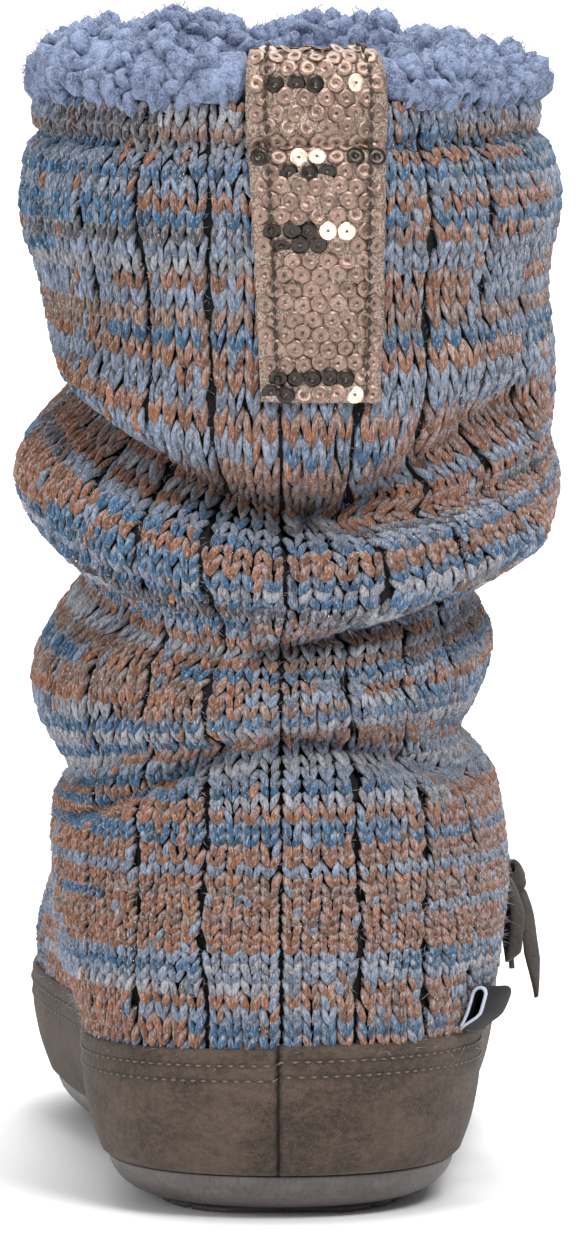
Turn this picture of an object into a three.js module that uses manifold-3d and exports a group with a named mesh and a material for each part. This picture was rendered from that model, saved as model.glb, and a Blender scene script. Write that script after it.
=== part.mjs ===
// Knitted bootie slipper, right foot, standing empty on its sole. Millimetres, +Z up, +Y to the toe,
// +X to the outer (lateral) side of the foot. The shoe is laid out in its own last frame, with x = 0 on
// the heel axis and y = 0 at the back of the heel, and the group then shifts it to its origin.
import * as THREE from "three";
import Module from "manifold-3d";

const wasm = await Module();
wasm.setup();

// Driving dimensions
const ORIGIN = { x: 0.8, y: 126.78 }; // middle of the shoe's box, in the last frame
const GAP = 0.3; // air between pieces that touch
const KNIT_WALL = 3; // knitted wall with its backing
const RIM_HEIGHT = 246.5; // top of the knitted shaft
const HEM_GROOVE = 237.5; // seam that holds the turned hem
const FEATHER_HEIGHT = 10.3; // where upper, band and insole meet the outsole
const ROUND_POWER = { foot: 2.2, shaft: 2 }; // superellipse power of the rounded ends of a section
const FOOT_TOP = 60; // below this height a section is a foot section
const SHAFT_START = 120; // above this height a section is an oval of the shaft
const TOE_SPRING = 9; // lift of the sole under the toe
const SPRING_START = 195; // where the toe spring starts
const TOE_TIP = 255;
const SPRING_FADE = { from: 30, to: 75 }; // heights over which the toe's lift dies out in the upper
const FOREFOOT_FULLNESS = 0.35; // share of the ankle's slack that is left over the forefoot
const FOREFOOT = { from: 100, to: 165 };
const COLUMNS = 44; // points round each section
const ANGLE_STEP = 0.02; // step to each side, in radians, when a direction round the shoe is measured
const HEIGHT_STEP = 0.6; // step up and down when a direction up the shoe is measured

// Half width and inward swing of the last along the foot, at the height of the suede band's top edge
const LAST_PLAN = [
  { y: 0, half: 42.6, swing: 0 },
  { y: 50, half: 42.7, swing: 0 },
  { y: 75, half: 43.2, swing: 0.3 },
  { y: 100, half: 43.4, swing: 0.8 },
  { y: 130, half: 46.2, swing: -0.6 },
  { y: 160, half: 50.2, swing: -2.6 },
  { y: 185, half: 51.8, swing: -4.4 },
  { y: 215, half: 51.2, swing: -7 },
  { y: 255, half: 45.5, swing: -11 },
];

// One row per height: back and front of the section, lengths of its rounded heel and nose, how far it
// stands out from the last's plan, and the half widths that it takes in the shaft
const SECTIONS = [
  { z: 10.3, back: 5, front: 249, round: 46, nose: 66, full: -5, medial: 46, lateral: 46 },
  { z: 20, back: 1.8, front: 252.5, round: 48, nose: 69, full: -2, medial: 47, lateral: 47 },
  { z: 30, back: 0.3, front: 253.8, round: 50, nose: 72, full: -0.4, medial: 48, lateral: 48 },
  { z: 38, back: 0, front: 252.4, round: 51, nose: 76, full: 0, medial: 49, lateral: 49 },
  { z: 45, back: -1.2, front: 247.5, round: 52, nose: 83, full: 2.6, medial: 50.5, lateral: 50 },
  { z: 52, back: -1.6, front: 240, round: 53, nose: 97, full: 4.6, medial: 51, lateral: 50.5 },
  { z: 59, back: -1.2, front: 226, round: 54, nose: 105, full: 5.8, medial: 51.5, lateral: 50.5 },
  { z: 67, back: -0.4, front: 206, round: 55, nose: 110, full: 6.6, medial: 51.5, lateral: 50 },
  { z: 78, back: 1, front: 182, round: 56, nose: 104, full: 7, medial: 52, lateral: 48.6 },
  { z: 90, back: 2.6, front: 161, round: 58, nose: 92, full: 6.6, medial: 49.8, lateral: 46 },
  { z: 102, back: 4.4, front: 146, round: 60, nose: 78, full: 6.4, medial: 51, lateral: 44.8 },
  { z: 115, back: 6, front: 136, round: 61, nose: 69, full: 6.2, medial: 52.4, lateral: 44 },
  { z: 130, back: 7, front: 130, round: 61, nose: 62, full: 6, medial: 51.5, lateral: 46.4 },
  { z: 145, back: 7.6, front: 127.4, round: 60, nose: 60, full: 6, medial: 53, lateral: 54.5 },
  { z: 160, back: 8.4, front: 126.6, round: 59, nose: 59, full: 6, medial: 54, lateral: 58.6 },
  { z: 185, back: 9.6, front: 125.6, round: 58, nose: 58, full: 6, medial: 49.8, lateral: 60.6 },
  { z: 203, back: 8.6, front: 126.4, round: 59, nose: 59, full: 6, medial: 52.6, lateral: 58.4 },
  { z: 222, back: 5.8, front: 128.6, round: 61, nose: 61, full: 6, medial: 57.6, lateral: 61.6 },
  { z: 246.5, back: 9.4, front: 124.4, round: 57, nose: 57, full: 6, medial: 53.6, lateral: 56.2 },
];

// How far the slack knit has slid down (negative) or up at the back, outer side, front and inner side,
// at the height where it would stand if the shaft were pulled straight
const SLUMP = [
  { v: 84, back: 0, outer: 0, front: 0, inner: 0 },
  { v: 103, back: 1, outer: 0, front: 5, inner: -8 },
  { v: 118, back: -3, outer: 3, front: 4, inner: -3 },
  { v: 136, back: -7, outer: 0, front: 3, inner: 4 },
  { v: 156, back: -12, outer: 2, front: 2, inner: 6 },
  { v: 170, back: -14, outer: 0, front: 7, inner: 12 },
  { v: 188, back: -7, outer: 0, front: 3, inner: 4 },
  { v: 208, back: 0, outer: 0, front: 0, inner: 0 },
];

// Slouch folds: straightened height, half height, and depth of each trough (negative) or roll (positive)
// at the back, outer side, front and inner side of the shaft
const FOLDS = [
  { fold: "hem groove", v: HEM_GROOVE, half: 2.4, back: -1.5, outer: -1.5, front: -1.5, inner: -1.5 },
  { fold: "upper crease", v: 170, half: 7, back: -8.5, outer: -2, front: -5, inner: -6.5 },
  { fold: "big roll", v: 156, half: 12.5, back: 6, outer: 4, front: 4.5, inner: 7 },
  { fold: "under the roll", v: 136, half: 7, back: -4.5, outer: -7, front: -4, inner: -9.5 },
  { fold: "ankle roll", v: 118, half: 9, back: 3.5, outer: 1.5, front: 2.5, inner: 4.5 },
  { fold: "heel arch crease", v: 103, half: 6.6, back: -5, outer: -7, front: -2, inner: -3.5 },
];

// Dent that the tied lace pulls into the outer side of the ankle
const LACE_DENT = { y: 84, z: 68, depth: -2.6, spread: 15 };

// Heights of the rows of the knitted shell
const SHELL_ROWS = [
  FEATHER_HEIGHT, 20, 30, 38, 45, 52, 59, 66, 74, 82, 90, 97, 104, 111, 118, 125, 132, 139, 146, 153,
  160, 167, 174, 181, 188, 197, 206, 215, 224, 232, HEM_GROOVE, 242, RIM_HEIGHT,
];

const clamp01 = (value) => Math.min(1, Math.max(0, value));

const smooth = (from, to, value) => {
  const t = clamp01((value - from) / (to - from));
  return t * t * (3 - 2 * t);
};

// Reads a column of a table at any place along its key column, on a smooth curve that never overshoots
function read(table, key, column, at) {
  const last = table.length - 1;
  if (at <= table[0][key]) return table[0][column];
  if (at >= table[last][key]) return table[last][column];
  const i = table.findIndex((row) => row[key] > at) - 1;
  const slope = (k) => (table[k + 1][column] - table[k][column]) / (table[k + 1][key] - table[k][key]);
  const tangent = (k) => {
    if (k === 0) return slope(0);
    if (k === last) return slope(last - 1);
    const before = slope(k - 1);
    const after = slope(k);
    return before * after <= 0 ? 0 : (2 * before * after) / (before + after);
  };
  const width = table[i + 1][key] - table[i][key];
  const t = (at - table[i][key]) / width;
  const rise = t * t * (3 - 2 * t);
  return (
    table[i][column] * (1 - rise) +
    table[i + 1][column] * rise +
    width * t * (1 - t) * ((1 - t) * tangent(i) - t * tangent(i + 1))
  );
}

// Smooth ring through four values, at the back, outer side, front and inner side
function around(theta, back, outer, front, inner) {
  const mean = (back + outer + front + inner) / 4;
  const twice = (back - outer + front - inner) / 4;
  return (
    mean +
    ((back - front) / 2) * Math.cos(theta) +
    ((outer - inner) / 2) * Math.sin(theta) +
    twice * Math.cos(2 * theta)
  );
}

const ringRow = (table, theta, v) =>
  around(theta, ...["back", "outer", "front", "inner"].map((side) => read(table, "v", side, v)));

// How far the folds push the knit out at an angle and a straightened height
function foldDepth(theta, v) {
  return FOLDS.reduce((sum, f) => {
    const depth = around(theta, f.back, f.outer, f.front, f.inner);
    return sum + depth * Math.exp(-(((v - f.v) / f.half) ** 2));
  }, 0);
}

// Lift of everything near the sole under the toe, which fades out with height
const springAt = (y, z) =>
  TOE_SPRING *
  clamp01((y - SPRING_START) / (TOE_TIP - SPRING_START)) ** 2 *
  (1 - smooth(SPRING_FADE.from, SPRING_FADE.to, z));

// Point of the upper's outer face: theta is 0 at the back and a quarter turn at the outer side, and v is
// the height where the knit would stand if the shaft were pulled straight
function skin(theta, v) {
  const z = v + ringRow(SLUMP, theta, v);
  const back = read(SECTIONS, "z", "back", z);
  const front = read(SECTIONS, "z", "front", z);
  const along = back + ((front - back) * (1 - Math.cos(theta))) / 2;
  const outerSide = Math.sin(theta) >= 0;
  const shaft = smooth(FOOT_TOP, SHAFT_START, z);
  const power = ROUND_POWER.foot * (1 - shaft) + ROUND_POWER.shaft * shaft;
  const cap = (reach) => (1 - clamp01(reach) ** power) ** (1 / power);
  const heelRound = read(SECTIONS, "z", "round", z);
  const nose = read(SECTIONS, "z", "nose", z);
  const ends = cap(1 - (along - back) / heelRound) * cap(1 - (front - along) / nose);
  const full = read(SECTIONS, "z", "full", z);
  const overFoot = smooth(FOREFOOT.from, FOREFOOT.to, along);
  const slack = full > 0 ? 1 - (1 - FOREFOOT_FULLNESS) * overFoot : 1;
  const footHalf = read(LAST_PLAN, "y", "half", along) + full * slack;
  const shaftHalf = read(SECTIONS, "z", outerSide ? "lateral" : "medial", z);
  const half = (footHalf * (1 - shaft) + shaftHalf * shaft) * ends;
  const swing = read(LAST_PLAN, "y", "swing", along) * (1 - shaft);
  const fromTie = Math.hypot(along - LACE_DENT.y, z - LACE_DENT.z) / LACE_DENT.spread;
  const dent = outerSide ? LACE_DENT.depth * Math.exp(-(fromTie ** 2)) : 0;
  const push = foldDepth(theta, v) + dent;
  return new THREE.Vector3(
    swing + (outerSide ? half : -half) + push * Math.sin(theta),
    along - push * Math.cos(theta),
    z + springAt(along, z),
  );
}

const acrossAt = (theta, v) => skin(theta + ANGLE_STEP, v).sub(skin(theta - ANGLE_STEP, v));

// The same point moved out along the surface's own normal; a level rim keeps its height
function lifted(theta, v, lift, level = false) {
  const low = Math.max(FEATHER_HEIGHT, v - HEIGHT_STEP);
  const high = Math.min(RIM_HEIGHT, v + HEIGHT_STEP);
  const across = acrossAt(theta, v);
  const up = skin(theta, high).sub(skin(theta, low));
  const normal = across.cross(up).normalize();
  if (level) normal.setZ(0).normalize();
  const point = skin(theta, v).addScaledVector(normal, lift);
  if (level) point.z = v + springAt(point.y, v);
  return point;
}

const angles = (count) => Array.from({ length: count }, (_, j) => (j * 2 * Math.PI) / count);

// Angle of the point of a section that lies a given way along the foot, on its outer side
function angleAt(along, z) {
  const back = read(SECTIONS, "z", "back", z);
  const front = read(SECTIONS, "z", "front", z);
  return Math.acos(1 - (2 * (along - back)) / (front - back));
}

function meshGeometry(points, triangles) {
  const geometry = new THREE.BufferGeometry();
  const values = points.flatMap((point) => point.toArray());
  geometry.setAttribute("position", new THREE.Float32BufferAttribute(values, 3));
  geometry.setIndex(triangles);
  return geometry;
}

// Closed skin over a loop of rings: each ring is joined to the next, and the last to the first
function ringLoop(rings) {
  const count = rings[0].length;
  const triangles = [];
  rings.forEach((_, i) => {
    const next = (i + 1) % rings.length;
    for (let j = 0; j < count; j += 1) {
      const k = (j + 1) % count;
      const [a, b] = [i * count + j, i * count + k];
      const [c, d] = [next * count + k, next * count + j];
      triangles.push(a, b, c, a, c, d);
    }
  });
  return meshGeometry(rings.flat(), triangles);
}

// Closed stack of rings with a strip of faces across its lowest and highest ring
function ringStack(rings) {
  const count = rings[0].length;
  const triangles = [];
  for (let i = 0; i + 1 < rings.length; i += 1) {
    for (let j = 0; j < count; j += 1) {
      const k = (j + 1) % count;
      const [a, b] = [i * count + j, i * count + k];
      const [c, d] = [(i + 1) * count + k, (i + 1) * count + j];
      triangles.push(a, b, c, a, c, d);
    }
  }
  const top = (rings.length - 1) * count;
  for (let j = 0; j < count / 2; j += 1) {
    const [right, ahead] = [j, j + 1];
    const [left, leftAhead] = [(count - j) % count, count - j - 1];
    if (j > 0) triangles.push(right, left, ahead, top + right, top + ahead, top + left);
    if (ahead !== leftAhead) {
      triangles.push(left, leftAhead, ahead, top + left, top + ahead, top + leftAhead);
    }
  }
  return meshGeometry(rings.flat(), triangles);
}

// Closed tube through sections, with a fan of faces over each end from the section's first point
function loft(sections) {
  const count = sections[0].length;
  const triangles = [];
  for (let i = 0; i + 1 < sections.length; i += 1) {
    for (let j = 0; j < count; j += 1) {
      const k = (j + 1) % count;
      const [a, b] = [i * count + j, i * count + k];
      const [c, d] = [(i + 1) * count + k, (i + 1) * count + j];
      triangles.push(a, c, b, a, d, c);
    }
  }
  const end = (sections.length - 1) * count;
  for (let j = 1; j + 1 < count; j += 1) triangles.push(0, j, j + 1, end, end + j + 1, end + j);
  return meshGeometry(sections.flat(), triangles);
}

// Closed slab between two grids of points, the front one seen from outside with its rows going up
function slab(front, backing) {
  const rows = front.length;
  const columns = front[0].length;
  const points = [...front.flat(), ...backing.flat()];
  const face = (i, j) => i * columns + j;
  const behind = (i, j) => rows * columns + i * columns + j;
  const triangles = [];
  const quad = (a, b, c, d) => triangles.push(a, b, c, a, c, d);
  for (let i = 0; i + 1 < rows; i += 1) {
    for (let j = 0; j + 1 < columns; j += 1) {
      quad(face(i, j), face(i, j + 1), face(i + 1, j + 1), face(i + 1, j));
      quad(behind(i, j), behind(i + 1, j), behind(i + 1, j + 1), behind(i, j + 1));
    }
    quad(face(i, 0), face(i + 1, 0), behind(i + 1, 0), behind(i, 0));
    const edge = columns - 1;
    quad(face(i, edge), behind(i, edge), behind(i + 1, edge), face(i + 1, edge));
  }
  for (let j = 0; j + 1 < columns; j += 1) {
    quad(face(0, j), behind(0, j), behind(0, j + 1), face(0, j + 1));
    const end = rows - 1;
    quad(face(end, j), face(end, j + 1), behind(end, j + 1), behind(end, j));
  }
  return meshGeometry(points, triangles);
}

// Passes a closed geometry to the solid kernel, with its shared corners merged
function solidOf(geometry) {
  const position = geometry.getAttribute("position");
  const index = geometry.getIndex();
  const corners = new Map();
  const vertProperties = [];
  const vertexOf = Array.from({ length: position.count }, (_, i) => {
    const point = new THREE.Vector3().fromBufferAttribute(position, i);
    const key = point.toArray().map((value) => Math.round(value * 1e4)).join();
    if (!corners.has(key)) {
      corners.set(key, corners.size);
      vertProperties.push(...point.toArray());
    }
    return corners.get(key);
  });
  const order = index ? Array.from(index.array) : vertexOf.map((_, i) => i);
  const triangles = [];
  for (let i = 0; i < order.length; i += 3) {
    const [a, b, c] = [vertexOf[order[i]], vertexOf[order[i + 1]], vertexOf[order[i + 2]]];
    if (a !== b && b !== c && c !== a) triangles.push(a, b, c);
  }
  return new wasm.Manifold(
    new wasm.Mesh({
      numProp: 3,
      vertProperties: new Float32Array(vertProperties),
      triVerts: new Uint32Array(triangles),
    }),
  );
}

function geometryOf(solid) {
  const mesh = solid.getMesh();
  const geometry = new THREE.BufferGeometry();
  const values = new Float32Array(mesh.vertProperties);
  geometry.setAttribute("position", new THREE.BufferAttribute(values, 3));
  geometry.setIndex(Array.from(mesh.triVerts));
  return geometry;
}

const slipper = new THREE.Group();
slipper.position.set(-ORIGIN.x, -ORIGIN.y, 0);

function addPiece(name, geometry, look) {
  const mesh = new THREE.Mesh(geometry, new THREE.MeshStandardMaterial({ metalness: 0, ...look }));
  mesh.name = name;
  slipper.add(mesh);
}

const KNIT = { color: 0x8b8a92, roughness: 0.95 };
const FLEECE = { color: 0x6f83b0, roughness: 1 };
const SUEDE = { color: 0x55493f, roughness: 0.92 };
const RUBBER = { color: 0x4a413c, roughness: 0.7 };
const FOOTBED = { color: 0x7387b0, roughness: 1 };
const SEQUIN = { color: 0x9d7f6f, roughness: 0.35, metalness: 0.7 };
const TAPE = { color: 0x1b1b1e, roughness: 0.85 };
const BRASS = { color: 0xc9b88c, roughness: 0.3, metalness: 1 };

// Outsole: a soft rubber cup with a rolled edge, a raised waist and two ribbed tread pads
const SOLE_TOP = FEATHER_HEIGHT - GAP;
// Rings of the cup; lift is the share of the waist's rise that each ring takes
const CUP_RINGS = [
  { z: 1.9, out: -9.6, lift: 1 },
  { z: 2.2, out: -6.8, lift: 1 },
  { z: 3.4, out: -3.6, lift: 0.7 },
  { z: 5.6, out: -1, lift: 0.35 },
  { z: 8.2, out: 0.6, lift: 0 },
  { z: SOLE_TOP, out: 1, lift: 0 },
];
const WAIST = { from: 88, middle: 108, to: 128, rise: 2.4 };
const PAD_INSET = -10.5;
const PADS = [
  { from: 9, to: 84 },
  { from: 132, to: 240 },
];
const PAD_ROOT = 2.6;
const TREAD = { pitch: 8.5, groove: 2.4, depth: 1.3 };
const BLOCK_WIDTH = 160; // cutting blocks reach past the sole on both sides
const BLOCK_REACH = { down: 5, up: 30 };

// Edge of the sole, moved out in plan by some millimetres, with z counted from a flat floor
function soleEdge(theta, out, z) {
  const across = acrossAt(theta, FEATHER_HEIGHT);
  const point = skin(theta, FEATHER_HEIGHT);
  const length = Math.hypot(across.x, across.y);
  const x = point.x + (out * across.y) / length;
  const y = point.y - (out * across.x) / length;
  return new THREE.Vector3(x, y, z + springAt(y, 0));
}

const waistRise = (y) =>
  WAIST.rise * smooth(WAIST.from, WAIST.middle, y) * (1 - smooth(WAIST.middle, WAIST.to, y));

function block(from, to, low, high) {
  const box = new THREE.BoxGeometry(BLOCK_WIDTH, to - from, high - low);
  box.translate(0, (from + to) / 2, (low + high) / 2);
  return solidOf(box);
}

function outsole() {
  const cup = CUP_RINGS.map(({ z, out, lift }) =>
    angles(COLUMNS).map((theta) => {
      const point = soleEdge(theta, out, z);
      point.z += waistRise(point.y) * lift;
      return point;
    }),
  );
  let solid = solidOf(ringStack(cup));
  const padRings = [0, PAD_ROOT].map((z) =>
    angles(COLUMNS).map((theta) => soleEdge(theta, PAD_INSET, z)),
  );
  const padSlab = solidOf(ringStack(padRings));
  PADS.forEach((pad) => {
    let tread = padSlab.intersect(block(pad.from, pad.to, -BLOCK_REACH.down, BLOCK_REACH.up));
    for (let y = pad.from + TREAD.pitch; y < pad.to - TREAD.pitch / 2; y += TREAD.pitch) {
      const floor = springAt(y, 0);
      const [from, to] = [y - TREAD.groove / 2, y + TREAD.groove / 2];
      tread = tread.subtract(block(from, to, floor - BLOCK_REACH.down, floor + TREAD.depth));
    }
    solid = solid.add(tread);
  });
  return geometryOf(solid);
}
addPiece("outsole", outsole(), RUBBER);

// Insole: soft footbed inside the knitted wall, with an eased upper edge
const INSOLE_CLEAR = 0.4;
const INSOLE_RINGS = [
  { up: 0, inset: 0 },
  { up: 3, inset: 0.4 },
  { up: 4.5, inset: 1.8 },
];
addPiece(
  "insole",
  ringStack(
    INSOLE_RINGS.map(({ up, inset }) =>
      angles(COLUMNS).map((theta) =>
        lifted(theta, FEATHER_HEIGHT + up, -KNIT_WALL - INSOLE_CLEAR - inset, true),
      ),
    ),
  ),
  FOOTBED,
);

// Upper: one hollow knitted shell from the sole to the rim of the shaft, open below and at the collar
function upper() {
  const isRim = (v) => v === FEATHER_HEIGHT || v === RIM_HEIGHT;
  const outside = SHELL_ROWS.map((v) => angles(COLUMNS).map((theta) => skin(theta, v)));
  const inside = SHELL_ROWS.map((v) =>
    angles(COLUMNS).map((theta) => lifted(theta, v, -KNIT_WALL, isRim(v))),
  );
  return ringLoop([...outside, ...inside.reverse()]);
}
addPiece("upper", upper(), KNIT);

// Foxing: suede band round the foot, its top edge highest at the back of the heel
const BAND = { thick: 1.6, back: 40, outer: 38, front: 37, inner: 36, clear: 0.5 };
function foxing() {
  const top = (theta) => around(theta, BAND.back, BAND.outer, BAND.front, BAND.inner);
  const rows = [() => FEATHER_HEIGHT, () => 20, () => 30, top];
  const ring = (row, lift) =>
    angles(COLUMNS).map((theta) => lifted(theta, row(theta), lift, row === rows[0]));
  const outside = rows.map((row) => ring(row, BAND.clear + BAND.thick));
  const inside = rows.map((row) => ring(row, BAND.clear));
  return ringLoop([...outside, ...inside.reverse()]);
}
addPiece("foxing", foxing(), SUEDE);

// Angle near the back of the shaft where the knit lies a given way to the outer side
function angleAtX(x, v) {
  let [low, high] = [-1, 1];
  const halvings = 30;
  for (let i = 0; i < halvings; i += 1) {
    const middle = (low + high) / 2;
    if (skin(middle, v).x < x) low = middle;
    else high = middle;
  }
  return (low + high) / 2;
}

// A point over the rim: out from the shaft's outer face and up from its edge
function overRim(theta, out, up) {
  const edge = skin(theta, RIM_HEIGHT);
  const across = acrossAt(theta, RIM_HEIGHT);
  const outward = new THREE.Vector3(across.y, -across.x, 0).normalize();
  return edge.addScaledVector(outward, out).add(new THREE.Vector3(0, 0, up));
}

// Pull tab: sequinned strip that lies on the back of the shaft, folds over the rim and goes down inside
const TAB = {
  thick: 2,
  clear: 0.4,
  foot: 188,
  columns: 6,
  topLeft: -7.5,
  topRight: 22.5,
  footLeft: -4.2,
  footRight: 21.4,
};
const TAB_LOOP = { out: 1.4, middle: -5.6, up: 3, rise: 8.6, down: -20, steps: 5 };
function pullTab() {
  const legRows = SHELL_ROWS.filter((v) => v >= TAB.foot);
  const turns = Array.from({ length: TAB_LOOP.steps + 1 }, (_, i) => (Math.PI * i) / TAB_LOOP.steps);
  const grid = (depth) => {
    const columnsOf = (v) => {
      const share = (v - TAB.foot) / (RIM_HEIGHT - TAB.foot);
      const left = THREE.MathUtils.lerp(TAB.footLeft, TAB.topLeft, share);
      const right = THREE.MathUtils.lerp(TAB.footRight, TAB.topRight, share);
      return Array.from({ length: TAB.columns }, (_, j) =>
        angleAtX(THREE.MathUtils.lerp(left, right, j / (TAB.columns - 1)), v),
      );
    };
    const leg = legRows.map((v) =>
      columnsOf(v).map((theta) => lifted(theta, v, TAB.clear + depth, v === RIM_HEIGHT)),
    );
    const reach = TAB_LOOP.out - TAB_LOOP.middle - TAB.thick / 2 + depth;
    const over = turns.map((turn) =>
      columnsOf(RIM_HEIGHT).map((theta) =>
        overRim(
          theta,
          TAB_LOOP.middle + reach * Math.cos(turn),
          TAB_LOOP.up + (TAB_LOOP.rise - TAB.thick / 2 + depth) * Math.sin(turn),
        ),
      ),
    );
    const inner = columnsOf(RIM_HEIGHT).map((theta) =>
      overRim(theta, TAB_LOOP.middle - reach, TAB_LOOP.down),
    );
    return [...leg, ...over, inner];
  };
  return slab(grid(TAB.thick), grid(0));
}
addPiece("pull_tab", pullTab(), SEQUIN);

// Fleece lining: thick curly pile that spills over the rim, with locks fused on; it is pinched to a thin
// roll where the pull tab folds over it
const PILE_SECTION = [
  { out: -3.8, up: 0.4 }, { out: 0.4, up: 0.4 }, { out: 1.2, up: 4 }, { out: -0.5, up: 8 },
  { out: -5, up: 11.5 }, { out: -10.5, up: 12.2 }, { out: -15, up: 8.5 }, { out: -16.5, up: 0 },
  { out: -15, up: -12 }, { out: -9, up: -21 }, { out: -6, up: -19 }, { out: -4.6, up: -8 },
];
const PILE_STEPS = 26;
const PINCH = { out: -5.6, up: 5, wide: 4.5, high: 4.2, sides: 8, steps: 5, overlap: 0.05 };
const PILE_CLEAR = 1.1;
// Locks: the first stands this share of the way round, they vary by jitter, their middles lie on an arc of
// the section between two shares of a half turn, and each stands clear above the rim
const LOCKS = {
  count: 34,
  radius: 6,
  spread: 1.6,
  flat: 0.8,
  first: 0.05,
  jitter: 0.6,
  arc: { from: 0.38, length: 0.72, out: -10, wide: 4.5, up: 4.5, high: 6 },
  clear: 0.4,
};

// Repeatable random numbers from 0 to 1, by a multiplicative generator
function randomNumbers(seed) {
  const [factor, range] = [48271, 2147483647];
  let state = seed;
  return () => {
    state = (state * factor) % range;
    return state / range;
  };
}

function fleece() {
  const start = angleAtX(TAB.topRight + PILE_CLEAR, RIM_HEIGHT);
  const finish = angleAtX(TAB.topLeft - PILE_CLEAR, RIM_HEIGHT) + 2 * Math.PI;
  const sectionAt = (theta) => PILE_SECTION.map(({ out, up }) => overRim(theta, out, up));
  const between = (from, to, steps) =>
    Array.from({ length: steps + 1 }, (_, i) => THREE.MathUtils.lerp(from, to, i / steps));
  const pile = loft(between(start, finish, PILE_STEPS).map(sectionAt));
  const pinchAt = (theta) =>
    angles(PINCH.sides).map((turn) =>
      overRim(theta, PINCH.out + PINCH.wide * Math.cos(turn), PINCH.up + PINCH.high * Math.sin(turn)),
    );
  const pinchFrom = finish - 2 * Math.PI - PINCH.overlap;
  const roll = loft(between(pinchFrom, start + PINCH.overlap, PINCH.steps).map(pinchAt));
  let solid = solidOf(pile).add(solidOf(roll));
  const random = randomNumbers(7);
  const { arc } = LOCKS;
  for (let i = 0; i < LOCKS.count; i += 1) {
    const place = (i + LOCKS.jitter * random()) / LOCKS.count;
    const theta = start + (finish - start) * (LOCKS.first + (1 - 2 * LOCKS.first) * place);
    const radius = LOCKS.radius + LOCKS.spread * (random() - 0.5) * 2;
    const turn = Math.PI * (arc.from + arc.length * random());
    const lock = new THREE.IcosahedronGeometry(radius, 0);
    lock.rotateX(random() * Math.PI);
    lock.scale(1, 1, LOCKS.flat);
    const middle = overRim(theta, arc.out + arc.wide * Math.cos(turn), arc.up + arc.high * Math.sin(turn));
    const lowest = RIM_HEIGHT + radius + LOCKS.clear;
    lock.translate(middle.x, middle.y, Math.max(middle.z, lowest));
    solid = solid.add(solidOf(lock));
  }
  return geometryOf(solid);
}
addPiece("fleece_lining", fleece(), FLEECE);

// Side label: folded woven tape, bare, sewn in above the band on the outer side of the heel
const LABEL = { from: 22, to: 50, low: 40.4, high: 50.8, thick: 1.3, clear: 0.45, flare: 2.6, columns: 6 };
function sideLabel() {
  const grid = (depth) =>
    [LABEL.low, (LABEL.low + LABEL.high) / 2, LABEL.high].map((v) =>
      Array.from({ length: LABEL.columns }, (_, j) => {
        const share = j / (LABEL.columns - 1);
        const along = THREE.MathUtils.lerp(LABEL.from, LABEL.to, share);
        return lifted(angleAt(along, v), v, LABEL.clear + depth + LABEL.flare * share ** 2, true);
      }),
    );
  return slab(grid(LABEL.thick), grid(0));
}
addPiece("side_label", sideLabel(), TAPE);

// Eyelets: two brass rings on the outer side of the ankle
const EYELET_RING = [
  { radius: 1.9, up: 0.3 }, { radius: 3.3, up: 0.3 }, { radius: 3.6, up: 0.8 }, { radius: 3.1, up: 1.5 },
  { radius: 2.3, up: 1.6 }, { radius: 1.8, up: 1 }, { radius: 1.9, up: 0.3 },
];
const EYELET_SIDES = 12;
const EYELETS = [
  { name: "eyelet_rear", y: 73, z: 70.5 },
  { name: "eyelet_front", y: 95, z: 70.5 },
];
EYELETS.forEach(({ name, y, z }) => {
  const outline = EYELET_RING.map(({ radius, up }) => new THREE.Vector2(radius, up));
  const ring = new THREE.LatheGeometry(outline, EYELET_SIDES);
  const theta = angleAt(y, z);
  const seat = skin(theta, z);
  const outward = lifted(theta, z, 1).sub(seat).normalize();
  const latheAxis = new THREE.Vector3(0, 1, 0);
  ring.applyQuaternion(new THREE.Quaternion().setFromUnitVectors(latheAxis, outward));
  ring.translate(seat.x, seat.y, seat.z);
  addPiece(name, ring, BRASS);
});

// Lace: a flat suede thong, drawn here as a round one. Its bar passes from one eyelet to the other, and the
// bow is tied over it
const LACE = { radius: 1.2, sides: 8, stepRadii: 2.5 };
const BAR = {
  radius: 0.8,
  lifts: [2, 3.1, 1.8, 1.7, 1.8, 3.1, 2],
  reach: [0, 0.13, 0.32, 0.5, 0.68, 0.87, 1],
};
const KNOT = { x: 51.9, y: 84, z: 67.4, wide: 2.2, long: 3.5, high: 3.3, sides: 12, rings: 8 };
const LOOP_REAR = [
  [52.1, 79.9, 66.6], [52.9, 75, 64], [53.3, 69.5, 60], [52.8, 66.3, 54.8], [52.2, 68.7, 51.3],
  [51.8, 73.4, 54], [51.5, 78, 59], [51.3, 81.7, 63.2],
];
const LOOP_FRONT = [
  [52.1, 88.1, 66.8], [53.2, 92.4, 65.4], [53.7, 98, 62.6], [53.2, 102.5, 58.2], [52.5, 102.8, 53.4],
  [52, 98.6, 52.4], [51.6, 93.6, 56.4], [51.3, 87.6, 63.3],
];
const END_LONG = [
  [54.4, 82.8, 63.9], [55.6, 79.6, 59.8], [56.2, 75, 54.6], [56.8, 70.5, 49.6], [57.3, 66.5, 45.4],
  [57.5, 64.4, 42.6],
];
const END_SHORT = [
  [52.6, 84.9, 63], [52.5, 86.2, 58.5], [52.2, 87.6, 53.5], [52.2, 88.6, 49], [52.4, 89.2, 46],
];

function thong(points, radius) {
  const path = new THREE.CatmullRomCurve3(points);
  const outline = new THREE.Shape(
    angles(LACE.sides).map((turn) => new THREE.Vector2(radius * Math.cos(turn), radius * Math.sin(turn))),
  );
  const stepLength = radius * LACE.stepRadii;
  const steps = Math.round(path.getLength() / stepLength);
  return new THREE.ExtrudeGeometry(outline, { steps, bevelEnabled: false, extrudePath: path });
}

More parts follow.
